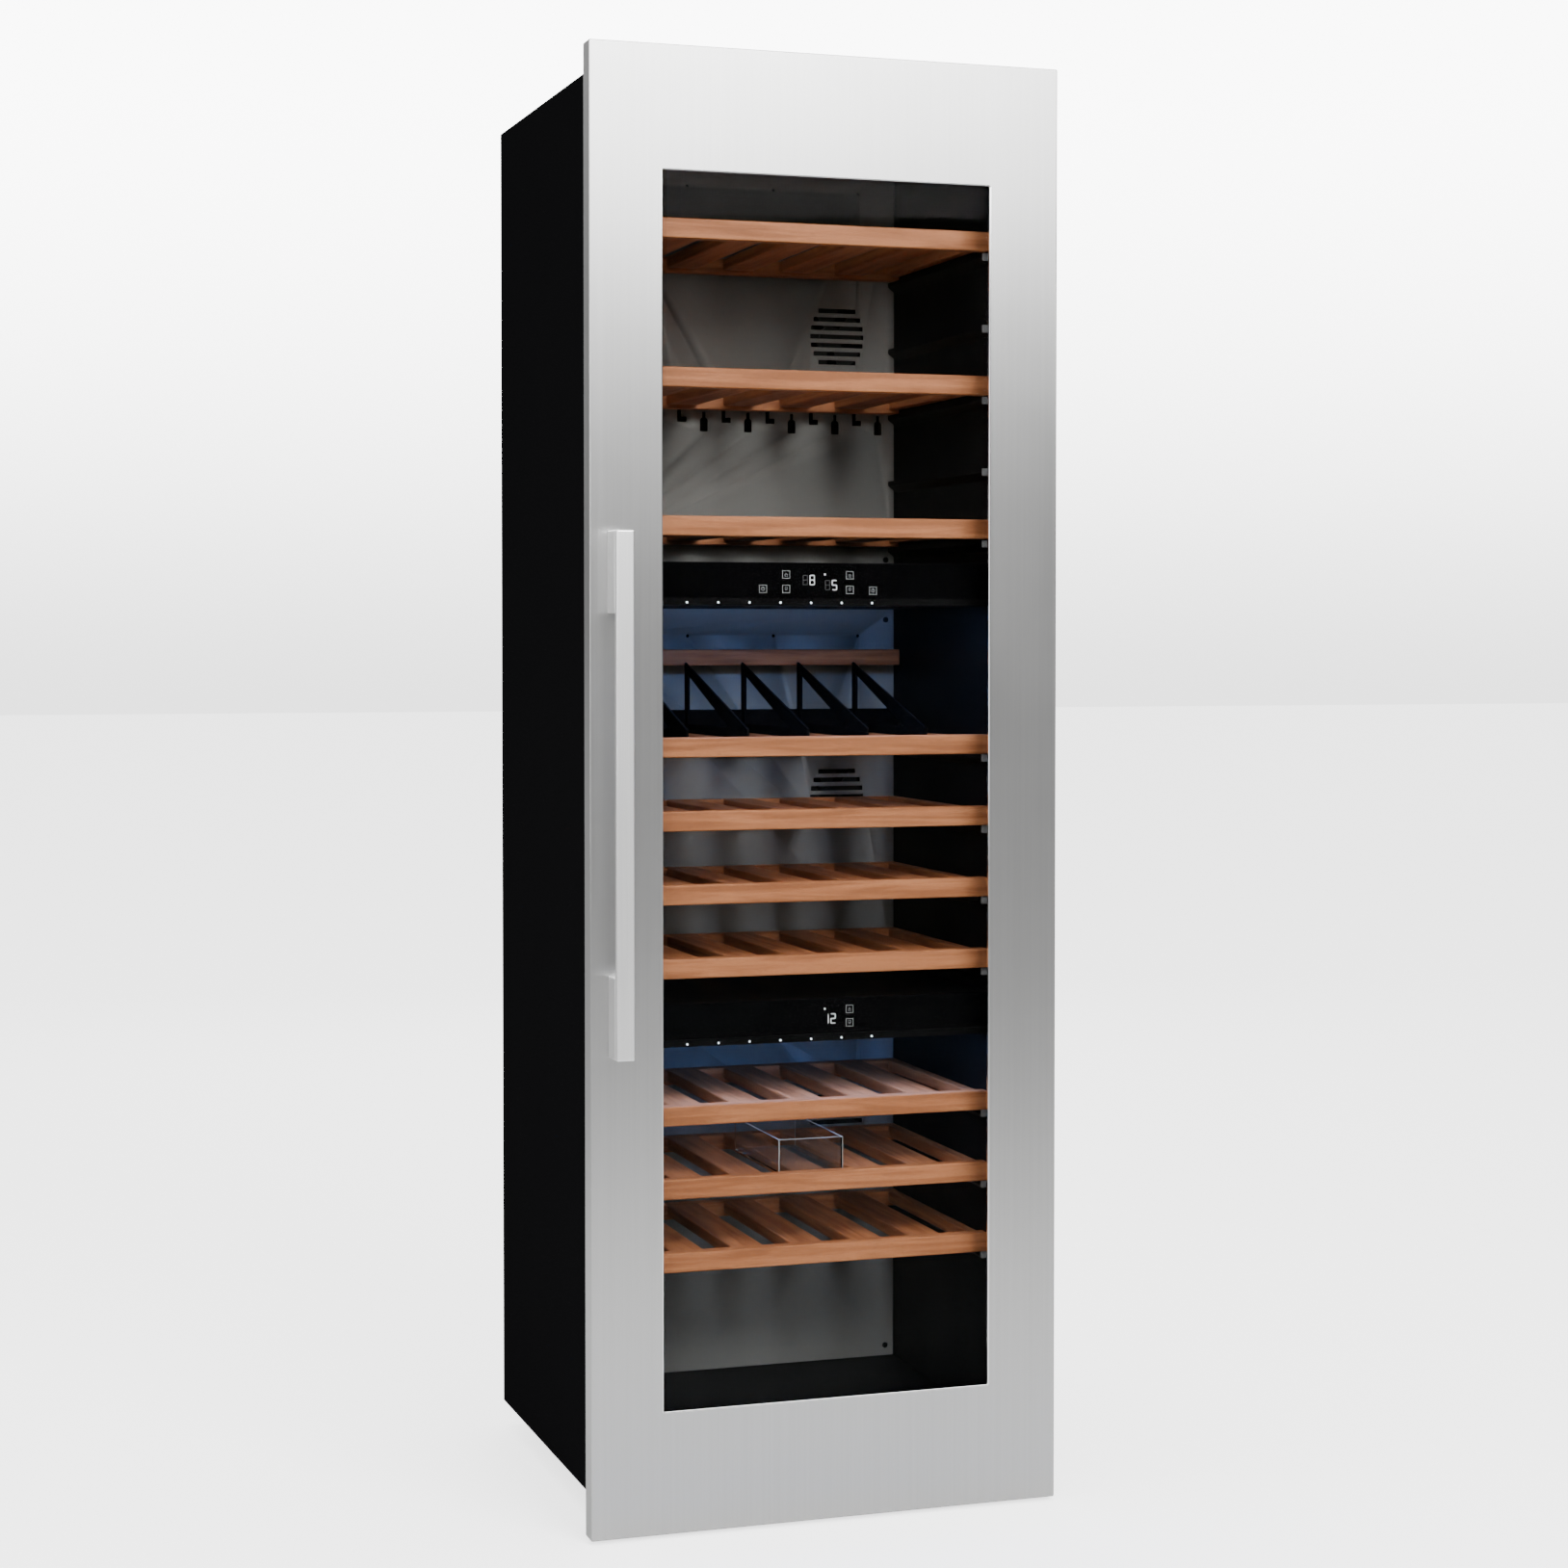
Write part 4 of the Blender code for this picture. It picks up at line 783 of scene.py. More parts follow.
def figure(mesh, digit, x, z, depth, width=0.0009):
    """A seven-segment figure with small gaps between its bars."""
    for bar in FIGURES[digit]:
        (x0, z0), (x1, z1) = SEGMENTS[bar]
        start = Vector((x + (x0 - 0.5) * FIGURE_WIDTH, z + (z0 - 0.5) * FIGURE_HEIGHT))
        end = Vector((x + (x1 - 0.5) * FIGURE_WIDTH, z + (z1 - 0.5) * FIGURE_HEIGHT))
        gap = (end - start).normalized() * width * 0.65
        stroke(mesh, start + gap, end - gap, width, depth)


def frame_mark(mesh, x, z, size, depth, width=0.00035):
    """The outlined square of a touch key."""
    half = size / 2
    corners = [(x - half, z - half), (x + half, z - half), (x + half, z + half), (x - half, z + half)]
    for index, corner in enumerate(corners):
        stroke(mesh, corner, corners[(index + 1) % 4], width, depth)


def arrow_mark(mesh, x, z, size, depth, up):
    """A touch key with an arrow head that points up or down."""
    frame_mark(mesh, x, z, size, depth)
    reach = size * 0.20
    tip = reach if up else -reach
    for side in (-1, 1):
        stroke(mesh, (x + side * reach, z - tip * 0.4), (x, z + tip * 0.7), FINE_LINE, depth)
    stroke(mesh, (x - reach, z - tip * 1.15), (x + reach, z - tip * 1.15), 0.00025, depth)


def ring_mark(mesh, x, z, size, depth, open_top):
    """A touch key with a small ring: broken at the top for power, whole for the lamps."""
    frame_mark(mesh, x, z, size, depth)
    radius = size * 0.22
    steps = 10
    for step in range(steps):
        if open_top and step == 2:
            continue
        turns = (math.tau * step / steps, math.tau * (step + 1) / steps)
        start, end = ((x + radius * math.cos(turn), z + radius * math.sin(turn)) for turn in turns)
        stroke(mesh, start, end, FINE_LINE, depth)
    stroke(mesh, (x, z + radius * 0.4), (x, z + radius * 1.5), FINE_LINE, depth)


def dot_mark(mesh, x, z, radius, depth):
    """A round lamp beside the figures."""
    turned(mesh, (x, depth, z), (0, -1, 0), [(radius, 0.0), (radius, PROUD)], sides=12)


KEY = 0.0092
DOT_RADIUS = 0.0012

# Each mark's place is (X, distance below the panel's top). A key's arrow points up or down, and a ring is
# broken or whole.
panel_marks = {
    "upper": {
        "keys": [
            (-0.0382, 0.0146, True),
            (-0.0382, 0.0321, False),
            (0.0441, 0.0148, True),
            (0.0441, 0.0329, False),
        ],
        "rings": [(-0.0678, 0.0321, True), (0.0743, 0.0336, False)],
        "figures": [("8", -0.0047, 0.0211), ("5", 0.0240, 0.0271)],
        "ghosts": [("8", -0.0135, 0.0211), ("8", 0.0152, 0.0271)],
        "dot": (0.0117, 0.0141),
    },
    "lower": {
        "keys": [(0.0441, 0.0140, True), (0.0441, 0.0306, False)],
        "rings": [],
        "figures": [("1", 0.0135, 0.0249), ("2", 0.0225, 0.0249)],
        "ghosts": [],
        "dot": (0.0117, 0.0127),
    },
}

for zone, marks in panel_marks.items():
    dress(zone + "_zone_divider", divider_plastic, softened=0.0005)
    dress(zone + "_control_board", board_green)
    low, high = (Vector(corner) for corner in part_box(zone + "_control_panel"))
    glass_mesh = bmesh.new()
    block(glass_mesh, low, high, 0.0006)
    panel = settle(zone + "_panel_glass", glass_mesh, [panel_glass])
    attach(panel, "cabinet")
    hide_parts(zone + "_control_panel")
    keys = bmesh.new()
    for x, down, up in marks["keys"]:
        arrow_mark(keys, x, high.z - down, KEY, low.y, up)
    for x, down, broken in marks["rings"]:
        ring_mark(keys, x, high.z - down, KEY, low.y, broken)
    lit = bmesh.new()
    for digit, x, down in marks["figures"]:
        figure(lit, digit, x, high.z - down, low.y)
    dot_x, dot_down = marks["dot"]
    dot_mark(lit, dot_x, high.z - dot_down, DOT_RADIUS, low.y)
    printed = [("key_marks", keys, key_mark), ("lit_figures", lit, lit_mark)]
    if marks["ghosts"]:
        unlit = bmesh.new()
        for digit, x, down in marks["ghosts"]:
            figure(unlit, digit, x, high.z - down, low.y)
        printed.append(("unlit_figures", unlit, unlit_figure_painted_glow))
    for label, mark_mesh, ink in printed:
        mark_layer = settle(zone + "_panel_" + label, mark_mesh, [ink])
        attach(mark_layer, "cabinet")

# A row of lamps is set in each lip, and lights the zone below it.
LAMP_COUNT = 7
LAMP_STEP = 0.0395
LAMP_START = -0.1640
LAMP_RADIUS = 0.0011
LAMP_RISE = 0.0032  # above the lip's lower edge
LAMP_BLUE = (0.20, 0.40, 1.0)
ZONE_LIGHT_WIDTH = 0.40
ZONE_LIGHT_POWER = 1.6
strip_plastic = grained("strip_diffuser", (0.55, 0.58, 0.62), 0.25, dust=0.02, scale=500.0, relief=0.05)
for zone in ("upper", "lower"):
    dress(zone + "_light_strip", strip_plastic, softened=0.0004)
    low, high = (Vector(corner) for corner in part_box(zone + "_zone_divider"))
    lamps_mesh = bmesh.new()
    for index in range(LAMP_COUNT):
        x = LAMP_START + index * LAMP_STEP
        dome = [(LAMP_RADIUS, 0.0), (LAMP_RADIUS, 0.0004)]
        dome += [(LAMP_RADIUS * 0.8, 0.0010), (LAMP_RADIUS * 0.4, 0.0014)]
        turned(lamps_mesh, (x, low.y, low.z + LAMP_RISE), (0, -1, 0), dome, sides=14)
    lamps = settle(zone + "_lamps", lamps_mesh, [lamp_light])
    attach(lamps, "cabinet")
    softbox(
        zone + "_zone_light",
        (0.0, low.y + 0.020, low.z - 0.004),
        (0.0, low.y + 0.160, low.z - 0.30),
        (ZONE_LIGHT_WIDTH, 0.020),
        ZONE_LIGHT_POWER,
        LAMP_BLUE,
    )


# Door front
# One sheet of brushed stainless steel, cut out for the window and folded back at its edges. The fold round
# the window is polished, and its thin bright line is partly a painted highlight: its steel is paler than the
# door's.

steel_group, steel_in, steel_out = shader_group(
    "brushed_lines",
    [
        ("Colour", "NodeSocketColor", (0.6, 0.6, 0.6, 1.0)),
        ("Line Scale", "NodeSocketVector", (900.0, 900.0, 6.0)),
        ("Line Contrast", "NodeSocketFloat", 0.06),
        ("Roughness", "NodeSocketFloat", 0.3),
    ],
    SURFACE_OUTPUTS,
)
steel_place = fill_node(steel_group, "ShaderNodeTexCoord")
steel_stretch = fill_node(steel_group, "ShaderNodeVectorMath", {"operation": "MULTIPLY"})
steel_lines = fill_node(steel_group, "ShaderNodeTexNoise", Scale=1.0, Detail=7.0, Roughness=0.7)
steel_cloud = fill_node(steel_group, "ShaderNodeTexNoise", Scale=3.0, Detail=5.0, Roughness=0.6)
wire(
    steel_group,
    (steel_place.outputs["Object"], steel_stretch.inputs[0]),
    (steel_in.outputs["Line Scale"], steel_stretch.inputs[1]),
    (steel_stretch.outputs[0], steel_lines.inputs["Vector"]),
    (steel_place.outputs["Object"], steel_cloud.inputs["Vector"]),
)
line_shift = arithmetic(steel_group, "SUBTRACT", steel_lines.outputs["Fac"], 0.5)
line_amount = arithmetic(steel_group, "MULTIPLY", line_shift, steel_in.outputs["Line Contrast"])
cloud_height = arithmetic(steel_group, "SUBTRACT", steel_cloud.outputs["Fac"], 0.5)
cloud_shift = arithmetic(steel_group, "MULTIPLY", cloud_height, 0.10)
steel_value = arithmetic(steel_group, "ADD", arithmetic(steel_group, "MULTIPLY", line_amount, 4.0), 1.0)
steel_tone = blend_colours(steel_group, 1.0, steel_in.outputs["Colour"], steel_value, mode="MULTIPLY")
rough_change = arithmetic(steel_group, "ADD", line_amount, cloud_shift)
steel_rough = arithmetic(steel_group, "ADD", steel_in.outputs["Roughness"], rough_change)
wire(
    steel_group,
    (steel_tone, steel_out.inputs["Colour"]),
    (steel_rough, steel_out.inputs["Roughness"]),
    (steel_lines.outputs["Fac"], steel_out.inputs["Height"]),
)
BRUSHED_SCALE = (900.0, 900.0, 5.0)  # lines along Z
BRUSHED_DEPTH = 0.0002


def brushed(name, colour, roughness, line_scale=BRUSHED_SCALE, contrast=0.10, relief=0.06, across=0.0):
    """Brushed metal: long fine lines in its colour, its roughness and its relief."""
    effect_values = {
        "Colour": (*colour, 1.0),
        "Line_Scale": line_scale,
        "Line_Contrast": contrast,
        "Roughness": roughness,
    }
    shader_values = {"Metallic": 1.0, "Anisotropic": across}
    return textured(name, steel_group, effect_values, relief, BRUSHED_DEPTH, **shader_values)


door_steel = brushed("door_steel", (0.49, 0.49, 0.487), 0.31, (240.0, 240.0, 1.6), 0.05, 0.03, across=0.6)
# The polished fold is smoother than the door, and its steel is also given a paler colour: a painted
# highlight.
polished_edge_highlight = brushed("polished_edge_highlight", (0.82, 0.82, 0.82), 0.12, contrast=0.03, relief=0.0)


def rounded_ring(half_width, low, high, corner, y, steps=5):
    """The points of an upright rectangle with rounded corners, in the plane at y."""
    centres = [
        (half_width - corner, high - corner, 0.0),
        (-half_width + corner, high - corner, 0.5),
        (-half_width + corner, low + corner, 1.0),
        (half_width - corner, low + corner, 1.5),
    ]
    points = []
    for x, z, turn in centres:
        for step in range(steps):
            angle = math.pi * (turn + 0.5 * step / (steps - 1))
            points.append(Vector((x + corner * math.cos(angle), y, z + corner * math.sin(angle))))
    return points


def loft_rings(name, rings, materials, bands=None, sharp=35.0):
    """A closed band from a list of rings, each joined to the next and the last to the first."""
    mesh = bmesh.new()
    loops = [[mesh.verts.new(point) for point in ring] for ring in rings]
    for index, near in enumerate(loops):
        far = loops[(index + 1) % len(loops)]
        for corner in range(len(near)):
            after = (corner + 1) % len(near)
            face = mesh.faces.new((near[corner], near[after], far[after], far[corner]))
            face.material_index = bands[index] if bands else 0
    return settle(name, mesh, materials, sharp)


DOOR_SKIN = 0.0012
DOOR_CORNER = 0.002
INNER_CORNER = 0.0022
WINDOW_CORNER = 0.0016
FOLD_RADIUS = 0.0016
WINDOW_BORDER = 0.1475
WINDOW_HALF_WIDTH = 0.208
WINDOW_FOLD = 0.0008
PANE_GAP = 0.0003  # between the window's fold and the pane
pane_low = Vector(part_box("outer_glass")[0])
window_low = door_low.z + WINDOW_BORDER
window_high = door_high.z - WINDOW_BORDER
fold_depth = pane_low.y - PANE_GAP
fascia_rings = []
fascia_bands = []


def fascia_ring(outer, inset, y, corner, band=0):
    """One ring of the door's sheet: round the door's edge, or round the window."""
    if outer:
        ring = rounded_ring(door_high.x - inset, door_low.z + inset, door_high.z - inset, corner, y)
    else:
        ring = rounded_ring(WINDOW_HALF_WIDTH + inset, window_low - inset, window_high + inset, corner, y)
    fascia_rings.append(ring)
    fascia_bands.append(band)


fascia_ring(True, 0.0, door_high.y, DOOR_CORNER)
FOLD_STEPS = 5
for step in range(FOLD_STEPS):
    turn = math.pi / 2 * step / (FOLD_STEPS - 1)
    inset = FOLD_RADIUS * (1 - math.cos(turn))
    fascia_ring(True, inset, FRONT + FOLD_RADIUS * (1 - math.sin(turn)), DOOR_CORNER)
# The sheet rolls over into the window in three small polished steps.
fascia_ring(False, 0.0016, FRONT, 0.003, band=1)
fascia_ring(False, 0.0004, FRONT + 0.0003, 0.002, band=1)
fascia_ring(False, 0.0, FRONT + WINDOW_FOLD, WINDOW_CORNER, band=1)
fascia_ring(False, 0.0, fold_depth, WINDOW_CORNER)
fascia_ring(False, DOOR_SKIN, fold_depth, INNER_CORNER)
fascia_ring(False, DOOR_SKIN, FRONT + DOOR_SKIN, INNER_CORNER)
fascia_ring(True, DOOR_SKIN, FRONT + DOOR_SKIN, INNER_CORNER)
fascia_ring(True, DOOR_SKIN, door_high.y, INNER_CORNER)
fascia = loft_rings("door_front_sheet", fascia_rings, [door_steel, polished_edge_highlight], fascia_bands)

# The fold on the hinge side is notched at both ends, where the hinge brackets pass as the door swings.
NOTCH_DEPTH = 0.0105  # from the door's front face to the notch
NOTCH_GAP = 0.001
NOTCH_REACH = 0.002  # past the sheet on every side that the punch leaves open
HINGE_PLATE = 0.004
top_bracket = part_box("top_hinge_bracket")[1][2]
bottom_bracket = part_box("bottom_hinge_bracket")[0][2]
notches = []
for notch_low in (top_bracket - HINGE_PLATE - NOTCH_GAP, bottom_bracket - NOTCH_GAP):
    notch_high = notch_low + HINGE_PLATE + 2 * NOTCH_GAP
    left = door_high.x - NOTCH_REACH
    right = door_high.x + NOTCH_REACH
    notches.append([(left, notch_low), (right, notch_low), (right, notch_high), (left, notch_high)])
punch(fascia, notches, FRONT + NOTCH_DEPTH, door_high.y + NOTCH_REACH)
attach(fascia, "door")
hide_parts("door_fascia")


# Door frame, glass and seal
# A black plastic frame fills the steel front and carries two panes with an aluminium spacer between them. The
# magnetic seal is a soft extrusion with a bellows, pressed into the frame's back and welded at its corners.

frame_plastic = grained("frame_plastic", (0.008, 0.008, 0.009), 0.42, 0.05, 0.006, 1500.0, 0.10, shine=0.30)
spacer_metal = brushed("spacer_metal", (0.42, 0.42, 0.43), 0.35, line_scale=(700.0, 700.0, 20.0))
dress("door_inner_frame", frame_plastic, softened=0.0006)
dress("glass_spacer", spacer_metal)


def clear_sheet(name, tint, roughness, ior):
    """Clear glass or acrylic."""
    clear_values = {"Base_Color": (*tint, 1.0), "Roughness": roughness, "IOR": ior}
    return new_surface(name, Transmission_Weight=1.0, **clear_values)[0]


pane_glass = clear_sheet("pane_glass", (0.70, 0.705, 0.70), 0.0, 1.06)
for node in ("outer_glass", "inner_glass"):
    pane = dress(node, pane_glass)
    pane.visible_shadow = False

seal_low, seal_high = (Vector(corner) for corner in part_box("door_gasket"))
seal_rubber = grained("seal_rubber", (0.018, 0.018, 0.018), 0.62, dust=0.02, scale=700.0, relief=0.2)
SEAL_RISE = 0.0074
SEAL_CORNER = 0.012
# The profile's points are (distance in from the seal's edge, height).
seal_profile = [
    (0.000, 0.0), (0.016, 0.0), (0.016, 0.0014), (0.0130, 0.0020), (0.0136, 0.0032), (0.0122, 0.0042),
    (0.0150, 0.0050), (0.0158, 0.0062), (0.0150, SEAL_RISE), (0.0020, SEAL_RISE), (0.0008, 0.0062),
    (0.0016, 0.0050), (0.0044, 0.0042), (0.0030, 0.0032), (0.0036, 0.0020), (0.0000, 0.0014),
]
seal_depth = seal_high.y - seal_low.y
seal_rings = []
for inset, rise in seal_profile:
    y = seal_low.y + rise / SEAL_RISE * seal_depth
    ring = rounded_ring(seal_high.x - inset, seal_low.z + inset, seal_high.z - inset, SEAL_CORNER, y)
    seal_rings.append(ring)
seal = loft_rings("door_seal", seal_rings, [seal_rubber], sharp=50.0)
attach(seal, "door")
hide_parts("door_gasket")


# Handle
# A flat brushed steel bar stands off the door on two blocks of the same width, each held from inside the
# door by a hidden screw and locked by a small grub screw in its side.

# The bar and its blocks are the door's brushed steel, given a much paler colour as a painted highlight.
handle_steel_brightened = brushed("handle_steel_brightened", (0.90, 0.90, 0.895), 0.38, contrast=0.05, across=0.4)
for node, radius in (("handle_bar", 0.0022), ("upper_handle_post", 0.0016), ("lower_handle_post", 0.0016)):
    low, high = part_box(node)
    bar_mesh = bmesh.new()
    block(bar_mesh, low, high, radius, 4)
    bar = settle(node + "_steel", bar_mesh, [handle_steel_brightened])
    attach(bar, "door")
    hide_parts(node)

# The profile's points are (radius, height above the block's side).
GRUB_PROFILE = [(0.0024, -0.0004), (0.0024, 0.0001), (0.0018, 0.00022), (0.0011, 0.0001), (0.0010, -0.0015)]
GRUB_GAP = 0.00005
grub_mesh = bmesh.new()
for node in ("upper_handle_post", "lower_handle_post"):
    low, high = (Vector(corner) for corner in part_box(node))
    place = (high.x + GRUB_GAP, (low.y + high.y) / 2, (low.z + high.z) / 2)
    turned(grub_mesh, place, (1, 0, 0), GRUB_PROFILE, sides=18)
grubs = settle("handle_grub_screws", grub_mesh, [dark_screw])
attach(grubs, "door")


# Hinges
# Two zinc-plated steel brackets, screwed to the cabinet's top and base, reach forward into the door frame.
# Their pins run in plastic bushes.

HINGE_SCREWS_ACROSS = (0.011, 0.037)
HINGE_SCREWS_FORWARD = (0.012, 0.038)
HINGE_SCREW_RADIUS = 0.0045
for end, out in (("top", 1), ("bottom", -1)):
    dress(end + "_hinge_bracket", zinc_plate, softened=0.0005)
    dress(end + "_hinge_bush", moulded_black, softened=0.0003)
    low, high = (Vector(corner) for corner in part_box(end + "_hinge_bracket"))
    plate_z = high.z if end == "top" else low.z
    hinge_mesh = bmesh.new()
    for across in HINGE_SCREWS_ACROSS:
        for forward in HINGE_SCREWS_FORWARD:
            place = (low.x + across, high.y - forward, plate_z)
            screw_head(hinge_mesh, place, (0, 0, out), HINGE_SCREW_RADIUS)
    hinge_screws = settle(end + "_hinge_screws", hinge_mesh, [zinc_plate])
    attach(hinge_screws, "cabinet")


# Shelves
# Each shelf is solid beech, oiled: a deep front rail, a rear rail and slats between them, spaced so that a
# bottle lies in each gap. The slats are dowelled and glued into the rails.

beech_group, beech_in, beech_out = shader_group(
    "beech_figure",
    [
        ("Grain Stretch", "NodeSocketVector", (4.0, 60.0, 60.0)),
        ("Light", "NodeSocketColor", (0.60, 0.32, 0.19, 1.0)),
        ("Dark", "NodeSocketColor", (0.44, 0.21, 0.11, 1.0)),
        ("Fleck", "NodeSocketFloat", 0.35),
    ],
    SURFACE_OUTPUTS,
)
beech_place = fill_node(beech_group, "ShaderNodeTexCoord")
beech_stretch = fill_node(beech_group, "ShaderNodeVectorMath", {"operation": "MULTIPLY"})
beech_bands = fill_node(beech_group, "ShaderNodeTexNoise", Scale=1.0, Detail=3.0, Distortion=0.6)
beech_fine = fill_node(beech_group, "ShaderNodeTexNoise", Scale=9.0, Detail=2.0, Roughness=0.5)
beech_rays = fill_node(beech_group, "ShaderNodeTexNoise", Scale=14.0, Detail=1.0, Roughness=0.4)
ray_ramp = fill_node(beech_group, "ShaderNodeValToRGB")
ray_ramp.color_ramp.elements[0].position = 0.62
ray_ramp.color_ramp.elements[1].position = 0.72
band_mask = fill_node(beech_group, "ShaderNodeMapRange", From_Min=0.40, From_Max=0.62)
wire(
    beech_group,
    (beech_place.outputs["Object"], beech_stretch.inputs[0]),
    (beech_in.outputs["Grain Stretch"], beech_stretch.inputs[1]),
    (beech_stretch.outputs[0], beech_bands.inputs["Vector"]),
    (beech_stretch.outputs[0], beech_fine.inputs["Vector"]),
    (beech_stretch.outputs[0], beech_rays.inputs["Vector"]),
    (beech_rays.outputs["Fac"], ray_ramp.inputs["Fac"]),
    (beech_bands.outputs["Fac"], band_mask.inputs["Value"]),
)
light_wood = beech_in.outputs["Light"]
dark_wood = beech_in.outputs["Dark"]
beech_tone = blend_colours(beech_group, band_mask.outputs["Result"], light_wood, dark_wood)
fine_amount = arithmetic(beech_group, "MULTIPLY", beech_fine.outputs["Fac"], 0.45)
beech_tone = blend_colours(beech_group, fine_amount, beech_tone, dark_wood)
fleck_amount = arithmetic(beech_group, "MULTIPLY", ray_ramp.outputs["Color"], beech_in.outputs["Fleck"])
beech_tone = blend_colours(beech_group, fleck_amount, beech_tone, (0.17, 0.060, 0.026))
rough_change = arithmetic(beech_group, "MULTIPLY", beech_fine.outputs["Fac"], 0.14)
beech_rough = arithmetic(beech_group, "ADD", 0.44, rough_change)
wire(
    beech_group,
    (beech_tone, beech_out.inputs["Colour"]),
    (beech_rough, beech_out.inputs["Roughness"]),
    (beech_fine.outputs["Fac"], beech_out.inputs["Height"]),
)
BEECH_LIGHT = (0.50, 0.195, 0.084, 1.0)
BEECH_DARK = (0.31, 0.108, 0.042, 1.0)
BEECH_FLECK = 0.5
BEECH_DEPTH = 0.0003


def beech(name, stretch):
    """Oiled beech, with its grain along the axis that has the smallest stretch."""
    effect_values = {
        "Grain_Stretch": stretch,
        "Light": BEECH_LIGHT,
        "Dark": BEECH_DARK,
        "Fleck": BEECH_FLECK,
    }
    return textured(name, beech_group, effect_values, 0.15, BEECH_DEPTH, Specular_IOR_Level=0.22)


rail_beech = beech("rail_beech", (6.0, 110.0, 110.0))
slat_beech = beech("slat_beech", (110.0, 6.0, 110.0))

SHELF_COUNT = 10
RAIL_THICKNESS = 0.018
RAIL_ROUNDING = 0.0018
REAR_RAIL_ROUNDING = 0.0015
SLAT_SPACING = 0.0776
SLAT_WIDTH = 0.042
SLAT_DROP = 0.004
SLAT_THICKNESS = 0.015
SLAT_ROUNDING = 0.0022
JOINT_GAP = 0.0001  # between a slat's end and its rail
for number in range(1, SHELF_COUNT + 1):
    node = "shelf_%02d" % number
    low, high = (Vector(corner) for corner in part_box(node))
    slat_high = high.z - SLAT_DROP
    slat_low = slat_high - SLAT_THICKNESS
    rail_mesh = bmesh.new()
    block(rail_mesh, low, (high.x, low.y + RAIL_THICKNESS, high.z), RAIL_ROUNDING, 3)
    rail = settle(node + "_front_rail", rail_mesh, [rail_beech])
    rear_mesh = bmesh.new()
    block(rear_mesh, (low.x, high.y - RAIL_THICKNESS, low.z), (high.x, high.y, slat_high), REAR_RAIL_ROUNDING)
    rear = settle(node + "_rear_rail", rear_mesh, [rail_beech])
    slats_mesh = bmesh.new()
    for index in range(-3, 4):
        left = max(index * SLAT_SPACING - SLAT_WIDTH / 2, low.x)
        right = min(index * SLAT_SPACING + SLAT_WIDTH / 2, high.x)
        block(
            slats_mesh,
            (left, low.y + RAIL_THICKNESS + JOINT_GAP, slat_low),
            (right, high.y - RAIL_THICKNESS - JOINT_GAP, slat_high),
            SLAT_ROUNDING,
            3,
        )
    slats = settle(node + "_slats", slats_mesh, [slat_beech])
    for piece in (rail, rear, slats):
        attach(piece, node + "_body")
    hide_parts(node)
    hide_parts(node)


# Display rack
# The display shelf carries thin black steel strips that slope up to a raised beech rail, so that bottles lie
# with their labels towards the door.

dress("display_rack", black_coat, softened=0.0004)
low, high = (Vector(corner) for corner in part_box("display_rail"))
display_mesh = bmesh.new()
block(display_mesh, low, high, RAIL_ROUNDING, 3)
display_rail = settle("display_rail_beech", display_mesh, [rail_beech])
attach(display_rail, "shelf_07_body")
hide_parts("display_rail")


# Humidity tray
# A small open box of clear acrylic sheet, bonded at its corners. The light its polished edges catch is
# painted as an opaque grey on its rim and corners. It stands loose on a shelf and is filled with water.

# An opaque grey on the rim and corners: a painted highlight for the light the clear edges catch.
acrylic_edge_painted_highlight = grained("acrylic_edge_painted_highlight", (0.42, 0.43, 0.44), 0.3, 0.05, 0.01, 900.0, 0.2)
clear_acrylic = clear_sheet("clear_acrylic", (0.96, 0.965, 0.97), 0.02, 1.30)
TRAY_WALL = 0.0025
TRAY_EDGE = 0.0004  # the small bevel on each sawn edge
OUTER_CORNER = 0.0012
INSIDE_CORNER = 0.0006
low, high = (Vector(corner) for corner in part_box("humidity_tray"))
tray_mesh = bmesh.new()
tray_rings = []


def tray_ring(inset, z, corner):
    """One upright-sided ring of the tray, seen from above."""
    half_x = (high.x - low.x) / 2 - inset
    half_y = (high.y - low.y) / 2 - inset
    middle_x = (high.x + low.x) / 2
    middle_y = (high.y + low.y) / 2
    points = []
    for side_x, side_y, turn in ((1, 1, 0.0), (-1, 1, 0.5), (-1, -1, 1.0), (1, -1, 1.5)):
        for step in range(3):
            angle = math.pi * (turn + 0.25 * step)
            x = middle_x + side_x * (half_x - corner) + corner * math.cos(angle)
            y = middle_y + side_y * (half_y - corner) + corner * math.sin(angle)
            points.append(tray_mesh.verts.new((x, y, z)))
    tray_rings.append(points)


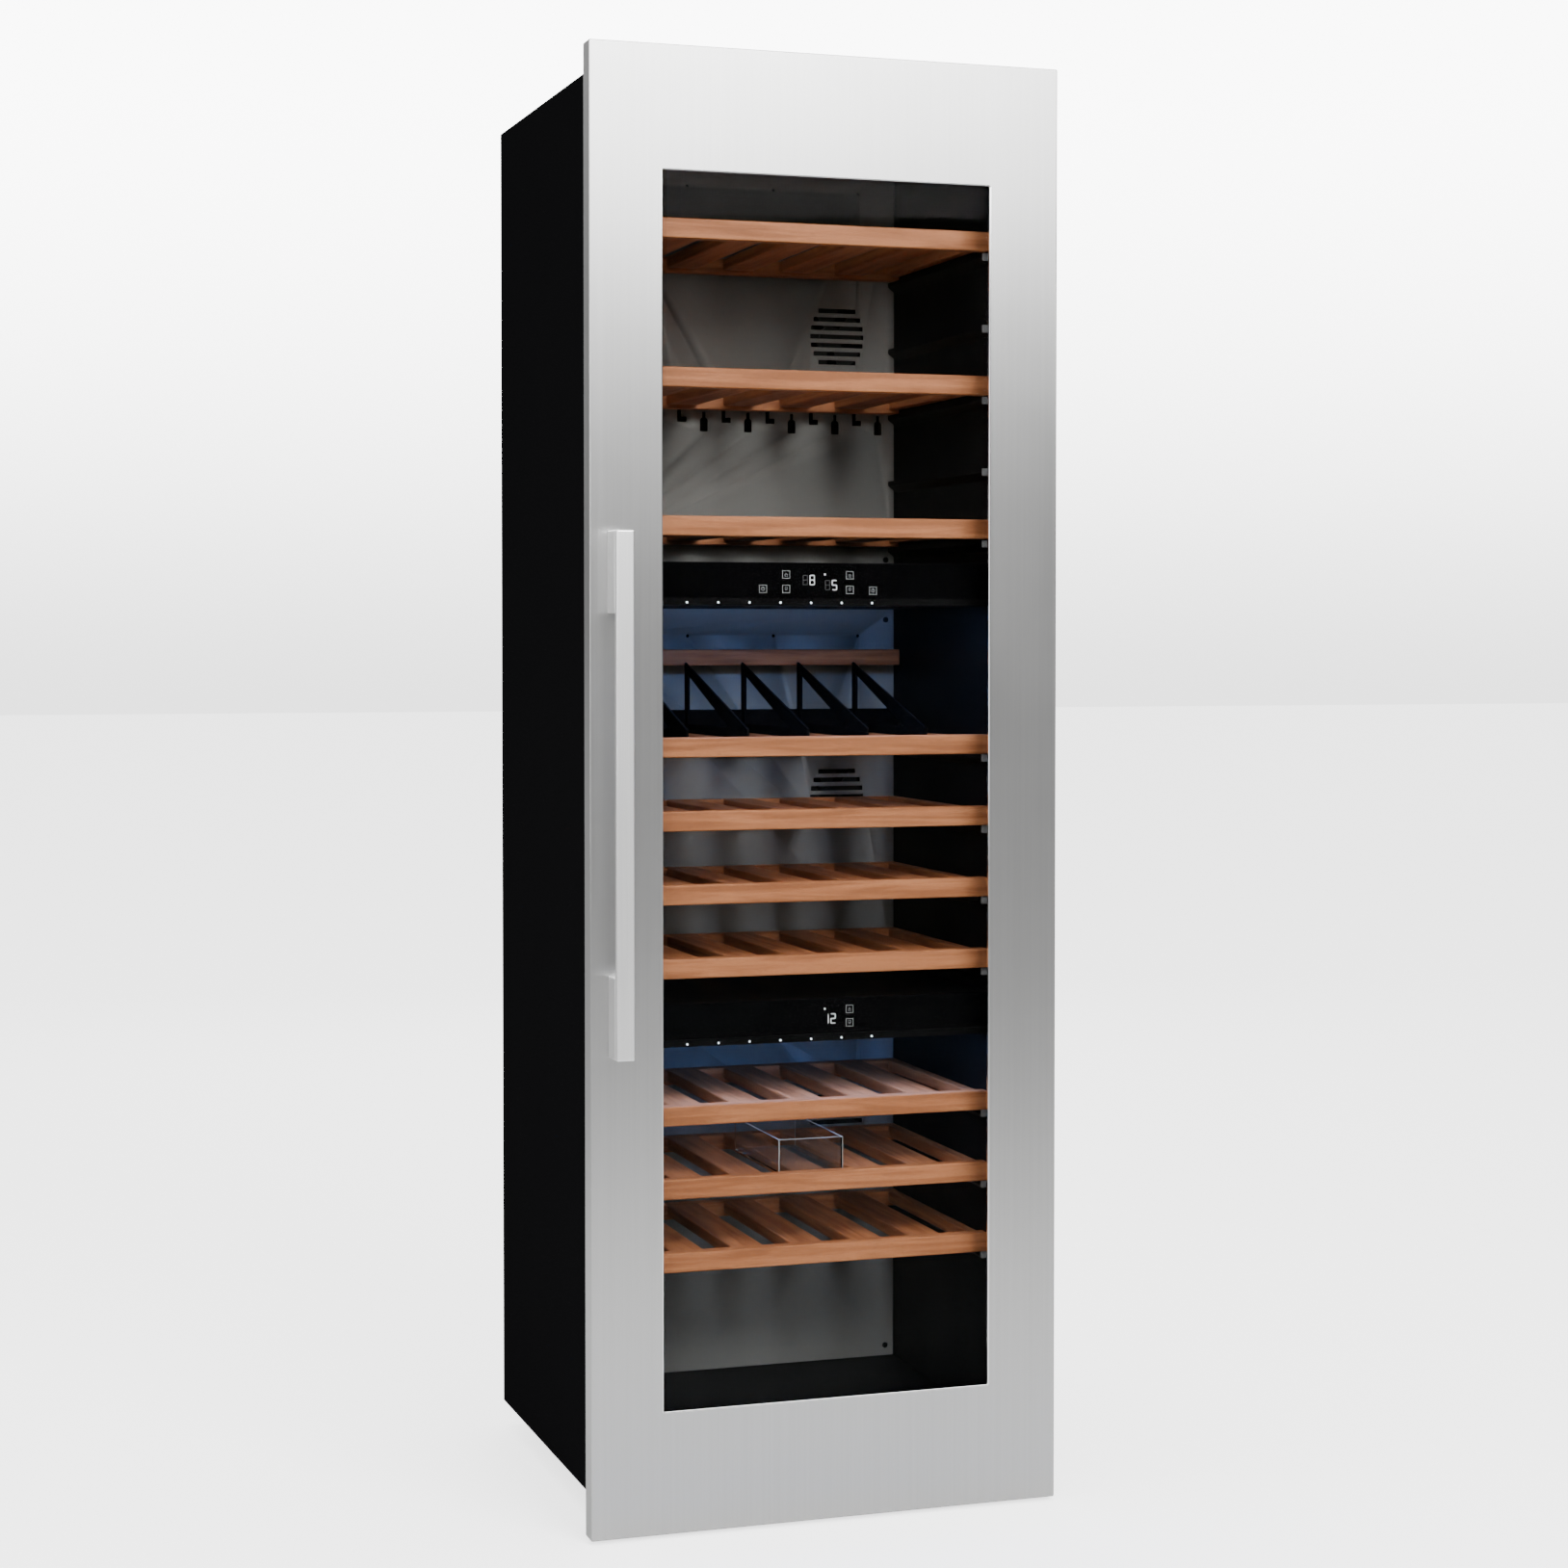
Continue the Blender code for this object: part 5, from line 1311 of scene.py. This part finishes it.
tray_ring(0.0005, low.z, 0.0010)
tray_ring(0.0, low.z + 0.0005, OUTER_CORNER)
tray_ring(0.0, high.z - TRAY_EDGE, OUTER_CORNER)
tray_ring(TRAY_EDGE, high.z, 0.0010)
tray_ring(TRAY_WALL - TRAY_EDGE, high.z, INSIDE_CORNER)
tray_ring(TRAY_WALL, high.z - TRAY_EDGE, INSIDE_CORNER)
tray_ring(TRAY_WALL, low.z + TRAY_WALL, INSIDE_CORNER)
for level, (near, far) in enumerate(zip(tray_rings, tray_rings[1:])):
    for corner in range(len(near)):
        after = (corner + 1) % len(near)
        face = tray_mesh.faces.new((near[corner], near[after], far[after], far[corner]))
        rim = level in (0, 2, 3, 4)
        joint = level == 1 and corner % 3 != 2
        face.material_index = 1 if rim or joint else 0
tray_mesh.faces.new(list(reversed(tray_rings[0])))
tray_mesh.faces.new(tray_rings[-1])
tray = settle("humidity_tray_box", tray_mesh, [clear_acrylic, acrylic_edge_painted_highlight])
tray.visible_shadow = False
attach(tray, "tray_body")
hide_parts("humidity_tray")


# Levelling feet
# Each foot is a zinc-plated threaded stud, screwed up into the base, and a moulded pad that carries the
# weight. The hexagon above the pad takes a spanner.

# Both profiles' points are (radius, height).
PAD_PROFILE = [
    (0.0185, 0.0), (0.0198, 0.0012), (0.0198, 0.0050), (0.0188, 0.0066), (0.0172, 0.0100), (0.0160, 0.0120),
    (0.0112, 0.0126),
]
HEXAGON_PROFILE = [(0.0104, 0.0127), (0.0110, 0.0135), (0.0110, 0.0325), (0.0104, 0.0333)]
THREAD_PITCH = 0.0015
THREAD_LOW = 0.0334
THREAD_HIGH = 0.0515
THREAD_ROOT = 0.0040
THREAD_CREST = 0.0050
THREAD_TURNS = 11
for end in ("front", "rear"):
    for side in ("left", "right"):
        node = end + "_" + side + "_foot"
        low, high = (Vector(corner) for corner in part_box(node))
        centre = ((low.x + high.x) / 2, (low.y + high.y) / 2, 0.0)
        pad_mesh = bmesh.new()
        turned(pad_mesh, centre, (0, 0, 1), PAD_PROFILE, sides=40)
        turned(pad_mesh, centre, (0, 0, 1), HEXAGON_PROFILE, sides=6)
        pad = settle(node + "_pad", pad_mesh, [moulded_black])
        stud_mesh = bmesh.new()
        thread = [(THREAD_ROOT, THREAD_LOW)]
        for turn in range(THREAD_TURNS):
            base = THREAD_LOW + 0.0006 + turn * THREAD_PITCH
            thread += [(0.0042, base), (THREAD_CREST, base + THREAD_PITCH * 0.5)]
        thread.append((THREAD_ROOT, THREAD_HIGH))
        turned(stud_mesh, centre, (0, 0, 1), thread, sides=20)
        stud = settle(node + "_stud", stud_mesh, [zinc_plate])
        for piece in (pad, stud):
            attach(piece, node + "_body")
        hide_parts(node)
        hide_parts(node)
